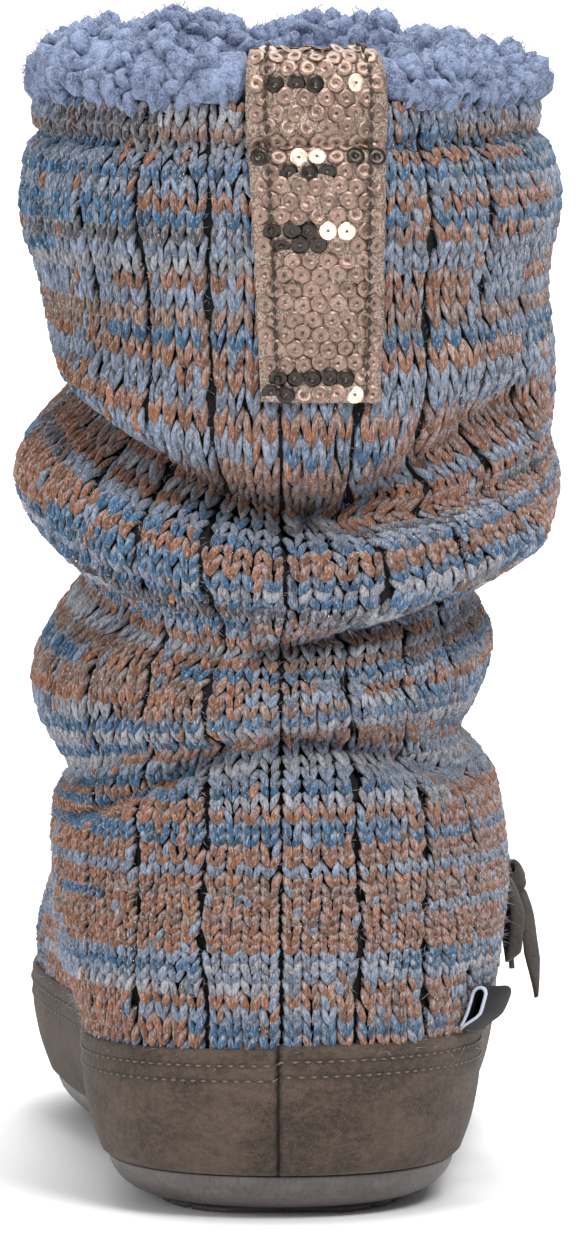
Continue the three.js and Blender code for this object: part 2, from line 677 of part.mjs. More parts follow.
addPiece(
  "lace_bar",
  thong(
    BAR.reach.map((share, i) => {
      const [rear, front] = EYELETS;
      const [y, z] = [THREE.MathUtils.lerp(rear.y, front.y, share), rear.z];
      return lifted(angleAt(y, z), z, BAR.lifts[i]);
    }),
    BAR.radius,
  ),
  SUEDE,
);
const knot = new THREE.SphereGeometry(1, KNOT.sides, KNOT.rings);
knot.scale(KNOT.wide, KNOT.long, KNOT.high);
knot.translate(KNOT.x, KNOT.y, KNOT.z);
addPiece("lace_knot", knot, SUEDE);
Object.entries({
  lace_loop_rear: LOOP_REAR,
  lace_loop_front: LOOP_FRONT,
  lace_end_long: END_LONG,
  lace_end_short: END_SHORT,
}).forEach(([name, route]) => {
  addPiece(name, thong(route.map((point) => new THREE.Vector3(...point)), LACE.radius), SUEDE);
});

export default slipper;
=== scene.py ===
"""Bootie slipper, right foot: knitted shaft with soft folds, curly fleece, suede band, rubber sole,
sequinned pull tab and a tied suede bow. Shapes are worked out in the shoe's last frame, in millimetres,
with x = 0 on the heel axis and y = 0 at the back of the heel, and are put into meshes in metres."""

import math

import bpy
import numpy as np
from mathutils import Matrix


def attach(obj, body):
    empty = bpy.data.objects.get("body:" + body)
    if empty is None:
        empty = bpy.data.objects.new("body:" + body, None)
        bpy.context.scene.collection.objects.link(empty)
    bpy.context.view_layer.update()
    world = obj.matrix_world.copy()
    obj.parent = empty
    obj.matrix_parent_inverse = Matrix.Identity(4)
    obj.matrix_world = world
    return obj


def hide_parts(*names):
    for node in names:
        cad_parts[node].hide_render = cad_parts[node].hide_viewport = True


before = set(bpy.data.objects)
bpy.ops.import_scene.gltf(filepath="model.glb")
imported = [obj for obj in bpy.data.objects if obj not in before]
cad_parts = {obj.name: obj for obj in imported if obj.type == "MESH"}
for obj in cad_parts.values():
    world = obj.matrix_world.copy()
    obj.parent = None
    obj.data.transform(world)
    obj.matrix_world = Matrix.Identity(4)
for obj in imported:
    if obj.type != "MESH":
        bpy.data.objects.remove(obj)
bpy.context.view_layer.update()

# Camera: stands three metres behind the heel, a little above the shaft, and looks slightly down, with a
# long lens. ORIGIN is the middle of the shoe's box, in the last frame.
ORIGIN = np.array([0.8, 126.78, 0.0])
CAMERA_AT = (0, -3000, 425)
CAMERA_TOWARDS = (0.000513, 1, -0.0968)
PHOTO_HEIGHT = 1235
FOCAL_PIXELS = 13714
SENSOR_HEIGHT = 24


def metres(points):
    """Points of the last frame, in millimetres, as places in the scene, in metres."""
    return (np.asarray(points, float) - ORIGIN) / 1000


lens = bpy.data.cameras.new("photo_view")
lens.sensor_fit = "VERTICAL"
lens.sensor_height = SENSOR_HEIGHT
lens.lens = SENSOR_HEIGHT * FOCAL_PIXELS / PHOTO_HEIGHT
lens.clip_end = 50
camera = bpy.data.objects.new("photo_view", lens)
camera.location = metres(CAMERA_AT)
pitch = math.atan2(CAMERA_TOWARDS[2], CAMERA_TOWARDS[1])
camera.rotation_euler = (math.pi / 2 + pitch, 0, -CAMERA_TOWARDS[0])
bpy.context.scene.collection.objects.link(camera)
bpy.context.scene.camera = camera


# Lace: one flat thong of dark suede, tied in a bow over the bar that passes through the two eyelets. The
# routes are those of the part's own cord solids. Two loops leave the knot and go back into it, the two
# ends are one stretch that passes through the knot, and two turns of the same thong wrap round it.
THONG = {"width": 4.2, "thick": 1.3, "sides": 12, "edge": 0.7}
ENDS_WIDTH = 4.8
LOOP_POINTS = 36
ENDS_POINTS = 60
KNOT = np.array([51.9, 84, 67.4])
LOOP_REAR = [
    (52.1, 79.9, 66.6), (52.9, 75, 64), (53.3, 69.5, 60), (52.8, 66.3, 54.8), (52.2, 68.7, 51.3),
    (51.8, 73.4, 54), (51.5, 78, 59), (51.3, 81.7, 63.2),
]
LOOP_FRONT = [
    (52.1, 88.1, 66.8), (53.2, 92.4, 65.4), (53.7, 98, 62.6), (53.2, 102.5, 58.2), (52.5, 102.8, 53.4),
    (52, 98.6, 52.4), (51.6, 93.6, 56.4), (51.3, 87.6, 63.3),
]
ENDS = [
    (57.5, 64.4, 42.6), (57.3, 66.5, 45.4), (56.8, 70.5, 49.6), (56.2, 75, 54.6), (55.6, 79.6, 59.8),
    (54.4, 82.8, 63.9), (53.6, 84.2, 65.4), (52.6, 84.9, 63), (52.5, 86.2, 58.5), (52.2, 87.6, 53.5),
    (52.2, 88.6, 49), (52.4, 89.2, 46),
]


def unit(vectors):
    """Vectors of length one, along the last axis."""
    return vectors / np.maximum(np.linalg.norm(vectors, axis=-1, keepdims=True), 1e-9)


def way_along(line):
    """Distance of each point of a line from its start, along the line."""
    return np.concatenate([[0], np.cumsum(np.linalg.norm(np.diff(line, axis=0), axis=1))])


def circle(count):
    """Angles of a count of equal steps round a full turn."""
    return np.arange(count) * 2 * math.pi / count


def smoothly(points, count):
    """A cubic curve through the points, whose slope at a point is half the step between its neighbours,
    resampled to a count of points at equal steps."""
    points = np.asarray(points, float)
    ends = np.vstack([2 * points[0] - points[1], points, 2 * points[-1] - points[-2]])
    t = np.linspace(0, 1, 17)[:-1, None, None]
    a, b, c, d = ends[:-3], ends[1:-2], ends[2:-1], ends[3:]
    curve = 0.5 * (2 * b + (c - a) * t + (2 * a - 5 * b + 4 * c - d) * t**2 + (3 * b - a - 3 * c + d) * t**3)
    curve = np.vstack([curve.transpose(1, 0, 2).reshape(-1, 3), points[-1:]])
    reach = way_along(curve)
    steps = np.linspace(0, reach[-1], count)
    return np.stack([np.interp(steps, reach, curve[:, k]) for k in range(3)], axis=1)


def grid_faces(rows, columns, wrap=False):
    """Quads between neighbouring points of a grid, whose rows may close on themselves."""
    i, j = np.meshgrid(np.arange(rows - 1), np.arange(columns if wrap else columns - 1), indexing="ij")
    ahead = (j + 1) % columns
    corners = [i * columns + j, i * columns + ahead, (i + 1) * columns + ahead, (i + 1) * columns + j]
    return np.stack(corners, axis=-1).reshape(-1, 4)


def mesh_piece(name, points, faces, finish, nodes=(), attributes=None, extra=None):
    """A piece from points in millimetres and arrays of faces. It rides on the shoe's one body, takes its
    finish from a slot, and may stand for CAD nodes. extra is a second finish and the faces that have it."""
    mesh = bpy.data.meshes.new(name)
    mesh.vertices.add(len(points))
    mesh.vertices.foreach_set("co", metres(points).astype(np.float32).ravel())
    corners = np.concatenate([face.ravel() for face in faces])
    sizes = np.concatenate([np.full(len(face), face.shape[1]) for face in faces])
    mesh.loops.add(len(corners))
    mesh.loops.foreach_set("vertex_index", corners.astype(np.int32))
    mesh.polygons.add(len(sizes))
    mesh.polygons.foreach_set("loop_start", (np.cumsum(sizes) - sizes).astype(np.int32))
    mesh.polygons.foreach_set("use_smooth", np.ones(len(sizes), bool))
    mesh.materials.append(finish)
    if extra is not None:
        mesh.materials.append(extra[0])
        mesh.polygons.foreach_set("material_index", extra[1].astype(np.int32))
    for key, values in (attributes or {}).items():
        kind = {1: ("FLOAT", "value"), 3: ("FLOAT_VECTOR", "vector"), 4: ("FLOAT_COLOR", "color")}
        form, field = kind[1 if values.ndim == 1 else values.shape[1]]
        mesh.attributes.new(key, form, "POINT").data.foreach_set(field, values.astype(np.float32).ravel())
    mesh.update(calc_edges=True)
    mesh.validate()
    piece = bpy.data.objects.new(name, mesh)
    bpy.context.scene.collection.objects.link(piece)
    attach(piece, "root")
    if nodes:
        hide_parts(*nodes)
    return piece


class Tap:
    """An output socket, so that arithmetic on it adds Math nodes."""

    def __init__(self, finish, socket):
        self.finish = finish
        self.socket = socket

    def math(self, operation, other):
        return self.finish.add("ShaderNodeMath", {"operation": operation}, {0: self, 1: other})

    def __add__(self, other):
        return self.math("ADD", other)

    def __mul__(self, other):
        return self.math("MULTIPLY", other)

    __radd__ = __add__
    __rmul__ = __mul__

    def above(self, low, high):
        """0 below low, 1 above high, and a smooth step between."""
        settings = {"interpolation_type": "SMOOTHSTEP"}
        return self.finish.add("ShaderNodeMapRange", settings, {0: self, 1: low, 2: high})


class Finish:
    """A material under construction: add makes any node, and dress ends in a Principled shader."""

    def __init__(self, name):
        self.material = bpy.data.materials.new(name)
        self.material.use_nodes = True
        self.nodes = self.material.node_tree.nodes
        self.nodes.clear()

    def add(self, kind, settings=None, inputs=None, output=0):
        """A node of a kind with its settings, its inputs linked or set, and a tap on one output."""
        node = self.nodes.new(kind)
        for key, value in (settings or {}).items():
            setattr(node, key, value)
        for key, value in (inputs or {}).items():
            if isinstance(value, Tap):
                self.material.node_tree.links.new(value.socket, node.inputs[key])
            else:
                node.inputs[key].default_value = value
        return None if output is None else Tap(self, node.outputs[output])

    def stretched(self, sizes):
        """Object coordinates counted in units of the given sizes, in millimetres."""
        place = self.add("ShaderNodeTexCoord", output="Object")
        factors = [1000 / size for size in sizes]
        return self.add("ShaderNodeVectorMath", {"operation": "MULTIPLY"}, {0: place, 1: factors})

    def attribute(self, name, output="Color"):
        return self.add("ShaderNodeAttribute", {"attribute_name": name}, output=output)

    def noise(self, sizes, detail, roughness):
        """Noise whose patches have the given sizes in millimetres, each way."""
        inputs = {"Vector": self.stretched(sizes), "Scale": 1.0, "Detail": detail, "Roughness": roughness}
        return self.add("ShaderNodeTexNoise", None, inputs)

    def cells(self, sizes):
        return self.add("ShaderNodeTexVoronoi", None, {"Vector": self.stretched(sizes), "Scale": 1.0})

    def mix(self, share, first, second, blend="MIX"):
        """A share of the way from the first colour to the second, or the second blended in by it."""
        colours = [value if isinstance(value, Tap) else (*value, 1) for value in (first, second)]
        settings = {"data_type": "RGBA", "blend_type": blend}
        return self.add("ShaderNodeMix", settings, {0: share, 6: colours[0], 7: colours[1]}, output=2)

    def bump(self, height, depth, normal=None):
        """Normal of a relief whose height, from 0 to 1, stands for a depth in millimetres."""
        inputs = {"Height": height, "Distance": depth / 1000, "Strength": 1.0}
        if normal is not None:
            inputs["Normal"] = normal
        return self.add("ShaderNodeBump", None, inputs)

    def dress(self, colour, roughness, normal=None, **constants):
        """The finished material, whose other inputs are constants named as the shader's own."""
        colour = colour if isinstance(colour, Tap) else (*colour, 1)
        inputs = {"Base Color": colour, "Roughness": roughness}
        inputs.update({key.replace("_", " "): value for key, value in constants.items()})
        if normal is not None:
            inputs["Normal"] = normal
        shader = self.add("ShaderNodeBsdfPrincipled", None, inputs)
        self.add("ShaderNodeOutputMaterial", None, {"Surface": shader}, output=None)
        return self.material


def suede_finish(name, deep, pale):
    """Napped suede: brushed patches about 15 mm across, a fine mottle and a short nap, and painted shade,
    near black, where the attribute crease is 1."""
    finish = Finish(name)
    patches = finish.noise((15, 15, 8), 4, 0.6).above(0.32, 0.66)
    mottle = finish.noise((1.8, 1.8, 1.2), 3, 0.6).above(0.35, 0.68)
    nap = finish.noise((0.3, 0.3, 0.42), 2, 0.6)
    colour = finish.mix(patches * 0.5 + mottle * 0.4, deep, pale)
    colour = finish.mix(nap.above(0.35, 0.75) * 0.35, colour, [value * 1.6 for value in pale])
    # Painted shade: the crease attribute darkens seams and needle holes to near black.
    colour = finish.mix(finish.attribute("crease", "Fac"), colour, [value * 0.25 for value in deep])
    normal = finish.bump(nap * 0.6 + mottle * 0.4, 0.25)
    return finish.dress(colour, 0.95, normal, Sheen_Weight=0.06, Sheen_Roughness=0.5)


def thong(path, facing, width, thick, taper):
    """A flat strip with rounded edges along a path: at each point its width lies across both the path and
    the facing direction, and taper gives the share of the width that is left. Its section is the curve
    whose cosine and sine are raised to the power edge."""
    along = unit(np.gradient(path, axis=0))
    across = unit(np.cross(facing, along))
    face = np.cross(along, across)
    sides = THONG["sides"]
    turn = circle(sides)
    side = np.sign(np.cos(turn)) * np.abs(np.cos(turn)) ** THONG["edge"] * width / 2
    rise = np.sign(np.sin(turn)) * np.abs(np.sin(turn)) ** THONG["edge"] * thick / 2
    rings = path[:, None] + across[:, None] * (side * taper[:, None])[..., None]
    rings = rings + face[:, None] * rise[None, :, None]
    points = np.vstack([rings.reshape(-1, 3), path[:1], path[-1:]])
    j = np.arange(sides)
    last = (len(path) - 1) * sides
    caps = np.vstack([
        np.stack([np.full(sides, last + sides), (j + 1) % sides, j], axis=1),
        np.stack([np.full(sides, last + sides + 1), last + j, last + (j + 1) % sides], axis=1),
    ])
    return points, [grid_faces(len(path), sides, wrap=True), caps]


lace_suede = suede_finish("lace_suede", (0.018, 0.014, 0.011), (0.050, 0.039, 0.031))
OUTWARD = np.array([1.0, 0.0, 0.0])


def loop_facing(path):
    """Flat side of a loop's thong: half towards the middle of the loop, half away from the shoe."""
    return unit(unit(path - path.mean(axis=0)) * 0.8 + OUTWARD * 0.6)


for name, route in {"lace_loop_rear": LOOP_REAR, "lace_loop_front": LOOP_FRONT}.items():
    path = smoothly(route, LOOP_POINTS)
    points, faces = thong(path, loop_facing(path), THONG["width"], THONG["thick"], np.ones(len(path)))
    loop = mesh_piece(name + "_thong", points, faces, lace_suede, [name])

# Turns of the knot: each a ring whose height lags its depth by a slant, with its reach each way.
TURNS = {
    "lace_knot_turn": {"slant": 0.5, "reach": (2.025, 3.69, 2.09), "nodes": ["lace_knot"]},
    "lace_knot_wrap": {"slant": -0.9, "reach": (1.8, 2.88, 2.53), "nodes": []},
}
TURN_THONG = {"width": 4.0, "thick": 1.7, "out": 0.2, "points": 40}
round_knot = np.linspace(0, 2 * math.pi, TURN_THONG["points"])
full_width = np.ones(TURN_THONG["points"])
for name, one in TURNS.items():
    ring = np.stack([np.cos(round_knot), np.sin(round_knot), np.sin(round_knot + one["slant"])], axis=1)
    ring = ring * one["reach"]
    path = KNOT + OUTWARD * TURN_THONG["out"] + ring
    points, faces = thong(path, unit(ring + 0.01), TURN_THONG["width"], TURN_THONG["thick"], full_width)
    mesh_piece(name, points, faces, lace_suede, one["nodes"])

# The ends run from the long one's tip to the short one's. Both are cut to a point over a share of the
# way, and the long end's flat side turns from outward and back to straight outward.
TIPS = {"long": 0.22, "short": 0.1, "point": 0.12}
path = smoothly(ENDS, ENDS_POINTS)
share = np.linspace(0, 1, ENDS_POINTS)
tip = np.minimum(1, np.minimum(share / TIPS["long"], (1 - share) / TIPS["short"]))
facing = unit(np.stack([0.55 + 0 * share, -0.85 * (1 - share), 0.1 + 0 * share], axis=1))
taper = TIPS["point"] + (1 - TIPS["point"]) * tip
points, faces = thong(path, facing, ENDS_WIDTH, THONG["thick"], taper)
ends = mesh_piece("lace_ends_thong", points, faces, lace_suede, ["lace_end_long", "lace_end_short"])


# Knitted upper: the skin of the last is worked out from the same sections, plan, slump and folds as the
# part's own solid. One row of a table is one height or one place along the foot.
RIM_HEIGHT = 246.5
FEATHER_HEIGHT = 10.3
HEM_GROOVE = 237.5


def named(columns, rows):
    """A table as a dictionary of its columns."""
    return dict(zip(columns.split(), np.array(rows, float).T))


LAST_PLAN = named("y half swing", [
    (0, 42.6, 0), (50, 42.7, 0), (75, 43.2, 0.3), (100, 43.4, 0.8), (130, 46.2, -0.6),
    (160, 50.2, -2.6), (185, 51.8, -4.4), (215, 51.2, -7), (255, 45.5, -11),
])
SECTIONS = named("z back front round nose full medial lateral", [
    (10.3, 5, 249, 46, 66, -5, 46, 46),
    (20, 1.8, 252.5, 48, 69, -2, 47, 47),
    (30, 0.3, 253.8, 50, 72, -0.4, 48, 48),
    (38, 0, 252.4, 51, 76, 0, 49, 49),
    (45, -1.2, 247.5, 52, 83, 2.6, 50.5, 50),
    (52, -1.6, 240, 53, 97, 4.6, 51, 50.5),
    (59, -1.2, 226, 54, 105, 5.8, 51.5, 50.5),
    (67, -0.4, 206, 55, 110, 6.6, 51.5, 50),
    (78, 1, 182, 56, 104, 7, 52, 48.6),
    (90, 2.6, 161, 58, 92, 6.6, 49.8, 46),
    (102, 4.4, 146, 60, 78, 6.4, 51, 44.8),
    (115, 6, 136, 61, 69, 6.2, 52.4, 44),
    (130, 7, 130, 61, 62, 6, 51.5, 46.4),
    (145, 7.6, 127.4, 60, 60, 6, 53, 54.5),
    (160, 8.4, 126.6, 59, 59, 6, 54, 58.6),
    (185, 9.6, 125.6, 58, 58, 6, 49.8, 60.6),
    (203, 8.6, 126.4, 59, 59, 6, 52.6, 58.4),
    (222, 5.8, 128.6, 61, 61, 6, 57.6, 61.6),
    (246.5, 9.4, 124.4, 57, 57, 6, 53.6, 56.2),
])
SLUMP = named("v back outer front inner", [
    (84, 0, 0, 0, 0),
    (103, 1, 0, 5, -8),
    (118, -3, 3, 4, -3),
    (136, -7, 0, 3, 4),
    (156, -12, 2, 2, 6),
    (170, -14, 0, 7, 12),
    (188, -7, 0, 3, 4),
    (208, 0, 0, 0, 0),
])
FOLDS = named("v half back outer front inner", [
    (HEM_GROOVE, 2, -2.8, -2.8, -2.8, -2.8),
    (170, 6, -12, -2, -5, -6.5),
    (156, 12.5, 6, 3, 4.5, 4.6),
    (136, 7, -3, -7, -4, -9.5),
    (118, 9, 3.5, 1.5, 2.5, 2.6),
    (103, 6.6, -5, -7, -2, -3.5),
])
LACE_DENT = {"y": 84, "z": 68, "depth": -2.6, "spread": 15}
# Smaller creases and rolls of the back half: where each starts and ends, as its way to the outer side and
# its straightened height, then its depth and its half width.
CREASES = {
    "roll that runs up to the outer side": ((-2, 140), (46, 151), 5, 4.5),
    "crease under that roll": ((-4, 132), (42, 141), -6.5, 3),
    "crease above the big roll": ((-50, 173), (8, 169), -6, 4),
    "its rise to the outer side": ((8, 169), (44, 183), -6.5, 4),
    "hang of the shaft over it, inner side": ((-44, 183), (2, 180), 4, 5.5),
    "hang of the shaft over it, outer side": ((10, 183), (36, 195), 2.5, 6),
    "swell of the big roll below it": ((20, 164), (50, 170), 4, 6),
    "roll's lower edge, let out": ((-26, 137), (-4, 135), 3.2, 6),
    "pleat in the inner side": ((-50, 150), (-14, 146), -1.8, 2.4),
    "heel arch, inner leg": ((-44, 88), (-12, 105), -5, 3),
    "heel arch, outer leg": ((0, 107), (46, 95), -5, 3),
    "heel cup under the arch": ((-28, 91), (30, 91), 2, 7),
    "slanting crease in the middle": ((6, 126), (34, 118), -2.6, 3),
    "dent in the inner side": ((-34, 116), (-18, 130), -2.8, 4),
    "soft ridge in the middle": ((-6, 112), (10, 126), 1.8, 5),
}
CREASES_FADE = (-0.1, 0.35)
SHAFT_HALF = 52
TOE_SPRING = {"rise": 9, "from": 195, "over": 60, "fades": (30, 75)}
# The foot's plan gives way to the shaft's oval over a span of heights, and the instep's fullness goes
# slack towards the toe. OVAL is the power of a section's rounded ends and what the shaft takes off it.
ANKLE = (60, 120)
OVAL = {"power": 2.2, "less": 0.2}
SLACK = {"share": 0.65, "over": (100, 165)}
STEP = {"around": 0.02, "up": 0.6}


def smooth(low, high, value):
    """0 below low, 1 above high, and a smooth step between."""
    t = np.clip((value - low) / (high - low), 0, 1)
    return t * t * (3 - 2 * t)


def read(table, key, column, at):
    """A column of a table at places along its key column: a cubic through the rows whose slope at a row is
    the harmonic mean of the slopes beside it, or 0 where they turn, so that it never overshoots."""
    x, y = table[key], table[column]
    at = np.clip(at, x[0], x[-1])
    i = np.clip(np.searchsorted(x, at, side="right") - 1, 0, len(x) - 2)
    slope = np.diff(y) / np.diff(x)
    product = slope[:-1] * slope[1:]
    total = np.where(product > 0, slope[:-1] + slope[1:], 1)
    tangent = np.concatenate([slope[:1], np.where(product > 0, 2 * product / total, 0), slope[-1:]])
    width = x[i + 1] - x[i]
    t = (at - x[i]) / width
    rise = t * t * (3 - 2 * t)
    lean = width * t * (1 - t) * ((1 - t) * tangent[i] - t * tangent[i + 1])
    return y[i] * (1 - rise) + y[i + 1] * rise + lean


def around(theta, back, outer, front, inner):
    """Smooth ring through four values: their mean, a first harmonic each way and a second one."""
    mean = (back + outer + front + inner) / 4
    twice = (back - outer + front - inner) / 4
    swing = (back - front) / 2 * np.cos(theta) + (outer - inner) / 2 * np.sin(theta)
    return mean + swing + twice * np.cos(2 * theta)


def spring_at(y, z):
    """Lift of the toe: its rise times the square of the way over its stretch, fading out up the shoe."""
    share = np.clip((y - TOE_SPRING["from"]) / TOE_SPRING["over"], 0, 1)
    return TOE_SPRING["rise"] * share**2 * (1 - smooth(*TOE_SPRING["fades"], z))


def bell(distance, half):
    """1 at no distance, falling to 1/e at the half width: exp(-(distance / half) squared)."""
    return np.exp(-((distance / half) ** 2))


def crease_depth(theta, v):
    """Sum of the small creases: each a bell of the distance from its line, on the back half alone."""
    x = SHAFT_HALF * np.sin(theta)
    total = np.zeros(np.broadcast(theta, v).shape)
    for start, end, depth, half in CREASES.values():
        run = np.array(end, float) - start
        share = np.clip(((x - start[0]) * run[0] + (v - start[1]) * run[1]) / (run @ run), 0, 1)
        away = np.hypot(x - start[0] - share * run[0], v - start[1] - share * run[1])
        total = total + depth * bell(away, half)
    return total * smooth(*CREASES_FADE, np.cos(theta))


def skin(theta, v):
    """Outer face of the upper: theta is 0 at the back and a quarter turn at the outer side, v is the
    height where the knit would stand if the shaft were pulled straight. A section is the last's plan below
    and an oval above, closed by rounded ends, then moved by the slump and pushed by folds and creases."""
    theta, v = np.broadcast_arrays(np.asarray(theta, float), np.asarray(v, float))
    z = v + around(theta, *[read(SLUMP, "v", side, v) for side in ("back", "outer", "front", "inner")])
    back = read(SECTIONS, "z", "back", z)
    front = read(SECTIONS, "z", "front", z)
    along = back + (front - back) * (1 - np.cos(theta)) / 2
    outer = np.sin(theta) >= 0
    shaft = smooth(*ANKLE, z)
    power = OVAL["power"] - OVAL["less"] * shaft
    heel = np.clip(1 - (along - back) / read(SECTIONS, "z", "round", z), 0, 1)
    nose = np.clip(1 - (front - along) / read(SECTIONS, "z", "nose", z), 0, 1)
    ends = ((1 - heel**power) * (1 - nose**power)) ** (1 / power)
    full = read(SECTIONS, "z", "full", z)
    slack = np.where(full > 0, 1 - SLACK["share"] * smooth(*SLACK["over"], along), 1)
    foot = read(LAST_PLAN, "y", "half", along) + full * slack
    side = np.where(outer, read(SECTIONS, "z", "lateral", z), read(SECTIONS, "z", "medial", z))
    half = (foot * (1 - shaft) + side * shaft) * ends
    swing = read(LAST_PLAN, "y", "swing", along) * (1 - shaft)
    push = crease_depth(theta, v)
    for k in range(len(FOLDS["v"])):
        fold = {key: values[k] for key, values in FOLDS.items()}
        depth = around(theta, fold["back"], fold["outer"], fold["front"], fold["inner"])
        push = push + depth * bell(v - fold["v"], fold["half"])
    from_tie = np.hypot(along - LACE_DENT["y"], z - LACE_DENT["z"])
    push = push + np.where(outer, LACE_DENT["depth"] * bell(from_tie, LACE_DENT["spread"]), 0)
    x = swing + np.where(outer, half, -half) + push * np.sin(theta)
    return np.stack([x, along - push * np.cos(theta), z + spring_at(along, z)], axis=-1)


def across_skin(theta, v):
    """A short step along the skin round the shoe, towards the outer side at the back."""
    return skin(theta + STEP["around"], v) - skin(theta - STEP["around"], v)


def lifted(theta, v, lift, level=False):
    """The skin moved out along its own normal; a level edge keeps its height."""
    above, below = np.minimum(RIM_HEIGHT, v + STEP["up"]), np.maximum(FEATHER_HEIGHT, v - STEP["up"])
    normal = unit(np.cross(across_skin(theta, v), skin(theta, above) - skin(theta, below)))
    if level:
        normal = unit(normal * (1, 1, 0))
    point = skin(theta, v) + normal * np.asarray(lift, float)[..., None]
    if level:
        point[..., 2] = v + spring_at(point[..., 1], np.asarray(v, float))
    return point


# Backing of the knit: a tricot shell under the stitches, whose inner face is the short blue pile. Its outer
# face is nearly black, painted shade for the gaps between the stitches. It is knitted in one with the upper
# and stands in the part's own wall.
BACKING = {"outer": -1.6, "inner": -3.0, "foot": 0.4, "columns": 112, "rows": 90}


def fleece_finish():
    """Curly pile: pale blue wool, with painted shade where its curl relief sinks into pockets and painted
    highlight on the high fine fuzz, soft and without gloss.
    """
    finish = Finish("fleece")
    curls = finish.noise((3.2, 3.2, 3.2), 3, 0.6)
    fuzz = finish.noise((0.5, 0.5, 0.5), 3, 0.7)
    # Painted shade: the colour darkens where the curl relief is low; painted highlight: it pales where the
    # fine fuzz stands high.
    colour = finish.mix(curls.above(0.3, 0.62), (0.060, 0.090, 0.190), (0.230, 0.295, 0.470))
    colour = finish.mix(fuzz.above(0.42, 0.7) * 0.6, colour, (0.46, 0.53, 0.70))
    normal = finish.bump(curls, 1.8)
    normal = finish.bump(fuzz, 0.7, normal)
    return finish.dress(colour, 1.0, normal, Sheen_Weight=0.15, Sheen_Roughness=0.6)


def backing_finish():
    """Brushed tricot behind the stitches, nearly black as painted shade for the gaps between them."""
    finish = Finish("knit_backing")
    fuzz = finish.noise((0.6, 0.6, 0.6), 3, 0.7)
    # Painted shade: near black, seen through the gaps and ladders between stitches.
    colour = finish.mix(fuzz.above(0.45, 0.75), (0.006, 0.006, 0.008), (0.035, 0.033, 0.035))
    return finish.dress(colour, 1.0, finish.bump(fuzz, 0.6))


fleece_wool = fleece_finish()
columns, rows = BACKING["columns"], BACKING["rows"]
turns = circle(columns)[None]
heights = np.linspace(FEATHER_HEIGHT + BACKING["foot"], RIM_HEIGHT, rows)[:, None]
walls = []
for lift in (BACKING["outer"], BACKING["inner"]):
    wall = lifted(turns, heights, lift)
    wall[[0, -1]] = lifted(turns, heights[[0, -1]], lift, True)
    walls.append(wall)
shell = np.concatenate([walls[0], walls[1][::-1]])
faces = grid_faces(2 * rows + 1, columns, wrap=True) % (2 * rows * columns)
pile_faces = np.arange(len(faces)) // columns >= rows - 1
mesh_piece(
    "knit_backing", shell.reshape(-1, 3), [faces], backing_finish(), ["upper"],
    extra=(fleece_wool, pile_faces),
)


# Stitches: stocking stitch of thick marled yarn, each stitch a V of two closed spindles. Courses run round
# the shoe and wales up from the band. Wales stand in groups of four with an open ladder between groups,
# where holes are worked every five courses. Panels give the place of a stitch; the vamp is one of its own.
WALE_GROUP = 17.2
COURSE = 3.45
GROUPS = 11
LADDER = {"share": 0.026, "pinch": 1.25, "wide": 0.13, "over": (95, 135), "proud": 0.35}
HOLE = {
    "wide": 1.9, "high": 3.0, "every": 16.6, "draw": 2.6, "first": 4.6, "shift": 1.7, "cycle": 3,
    "below_hem": 2,
}
# The shaft's panel: its rows by height, up to the top of the ankle and above it, its columns to a group of
# wales, and the heights between which the wales go over to even shares of the way round.
PANEL_ROWS = [(33, 120, 100), (121, RIM_HEIGHT, 130)]
PER_GROUP = 16
EVEN = (88, 122)
# The knit wanders: its wales sway a little, lean to the outer side over a stretch of the big roll, and sag
# in slow waves.
SWAY = {"angle": 0.010, "high": 7}
ROLL_LEAN = {"angle": 0.15, "comes": (124, 146), "goes": (152, 178)}
SAG = {"depth": 0.35, "high": 5.5, "long": 17}
# One leg of a stitch: the way along it, its lean in wales, its lift off the skin and its share of the
# yarn's radius. It starts below its course and reaches over nearly two, in courses.
LEG = named("t lean lift thickness", [
    (0, 0.01, 0.1, 0), (0.27, 0.15, 0.45, 0.86), (0.56, 0.28, 0.15, 1), (0.82, 0.38, -0.6, 0.8),
    (1, 0.40, -1.5, 0),
])
LEG_SPAN = {"below": 0.62, "reach": 1.95}
YARN = {"radius": 0.92, "sides": 5, "flat": 0.85}
PLY_TWIST = 8
UNEVEN = {"wale": 0.05, "course": 0.09, "lift": 0.08, "thickness": 0.1, "tone": 0.2}
# Hues of the dyed yarn, with their shares: deep blue, grey blue, pale grey, rust, tan and charcoal. Some
# single legs stray to grey blue or to rust.
STRAYS = {"grey blue": 0.07, "rust": 0.035}
HUES = np.array([
    (0.030, 0.106, 0.205), (0.170, 0.215, 0.295), (0.290, 0.295, 0.330),
    (0.250, 0.102, 0.048), (0.215, 0.125, 0.086), (0.080, 0.078, 0.092),
])
HUE_SHARES = [0.24, 0.22, 0.08, 0.30, 0.12, 0.04]
CHANGE_SHARE = 0.72
OWN_SHARE = 0.68
random = np.random.default_rng(11)


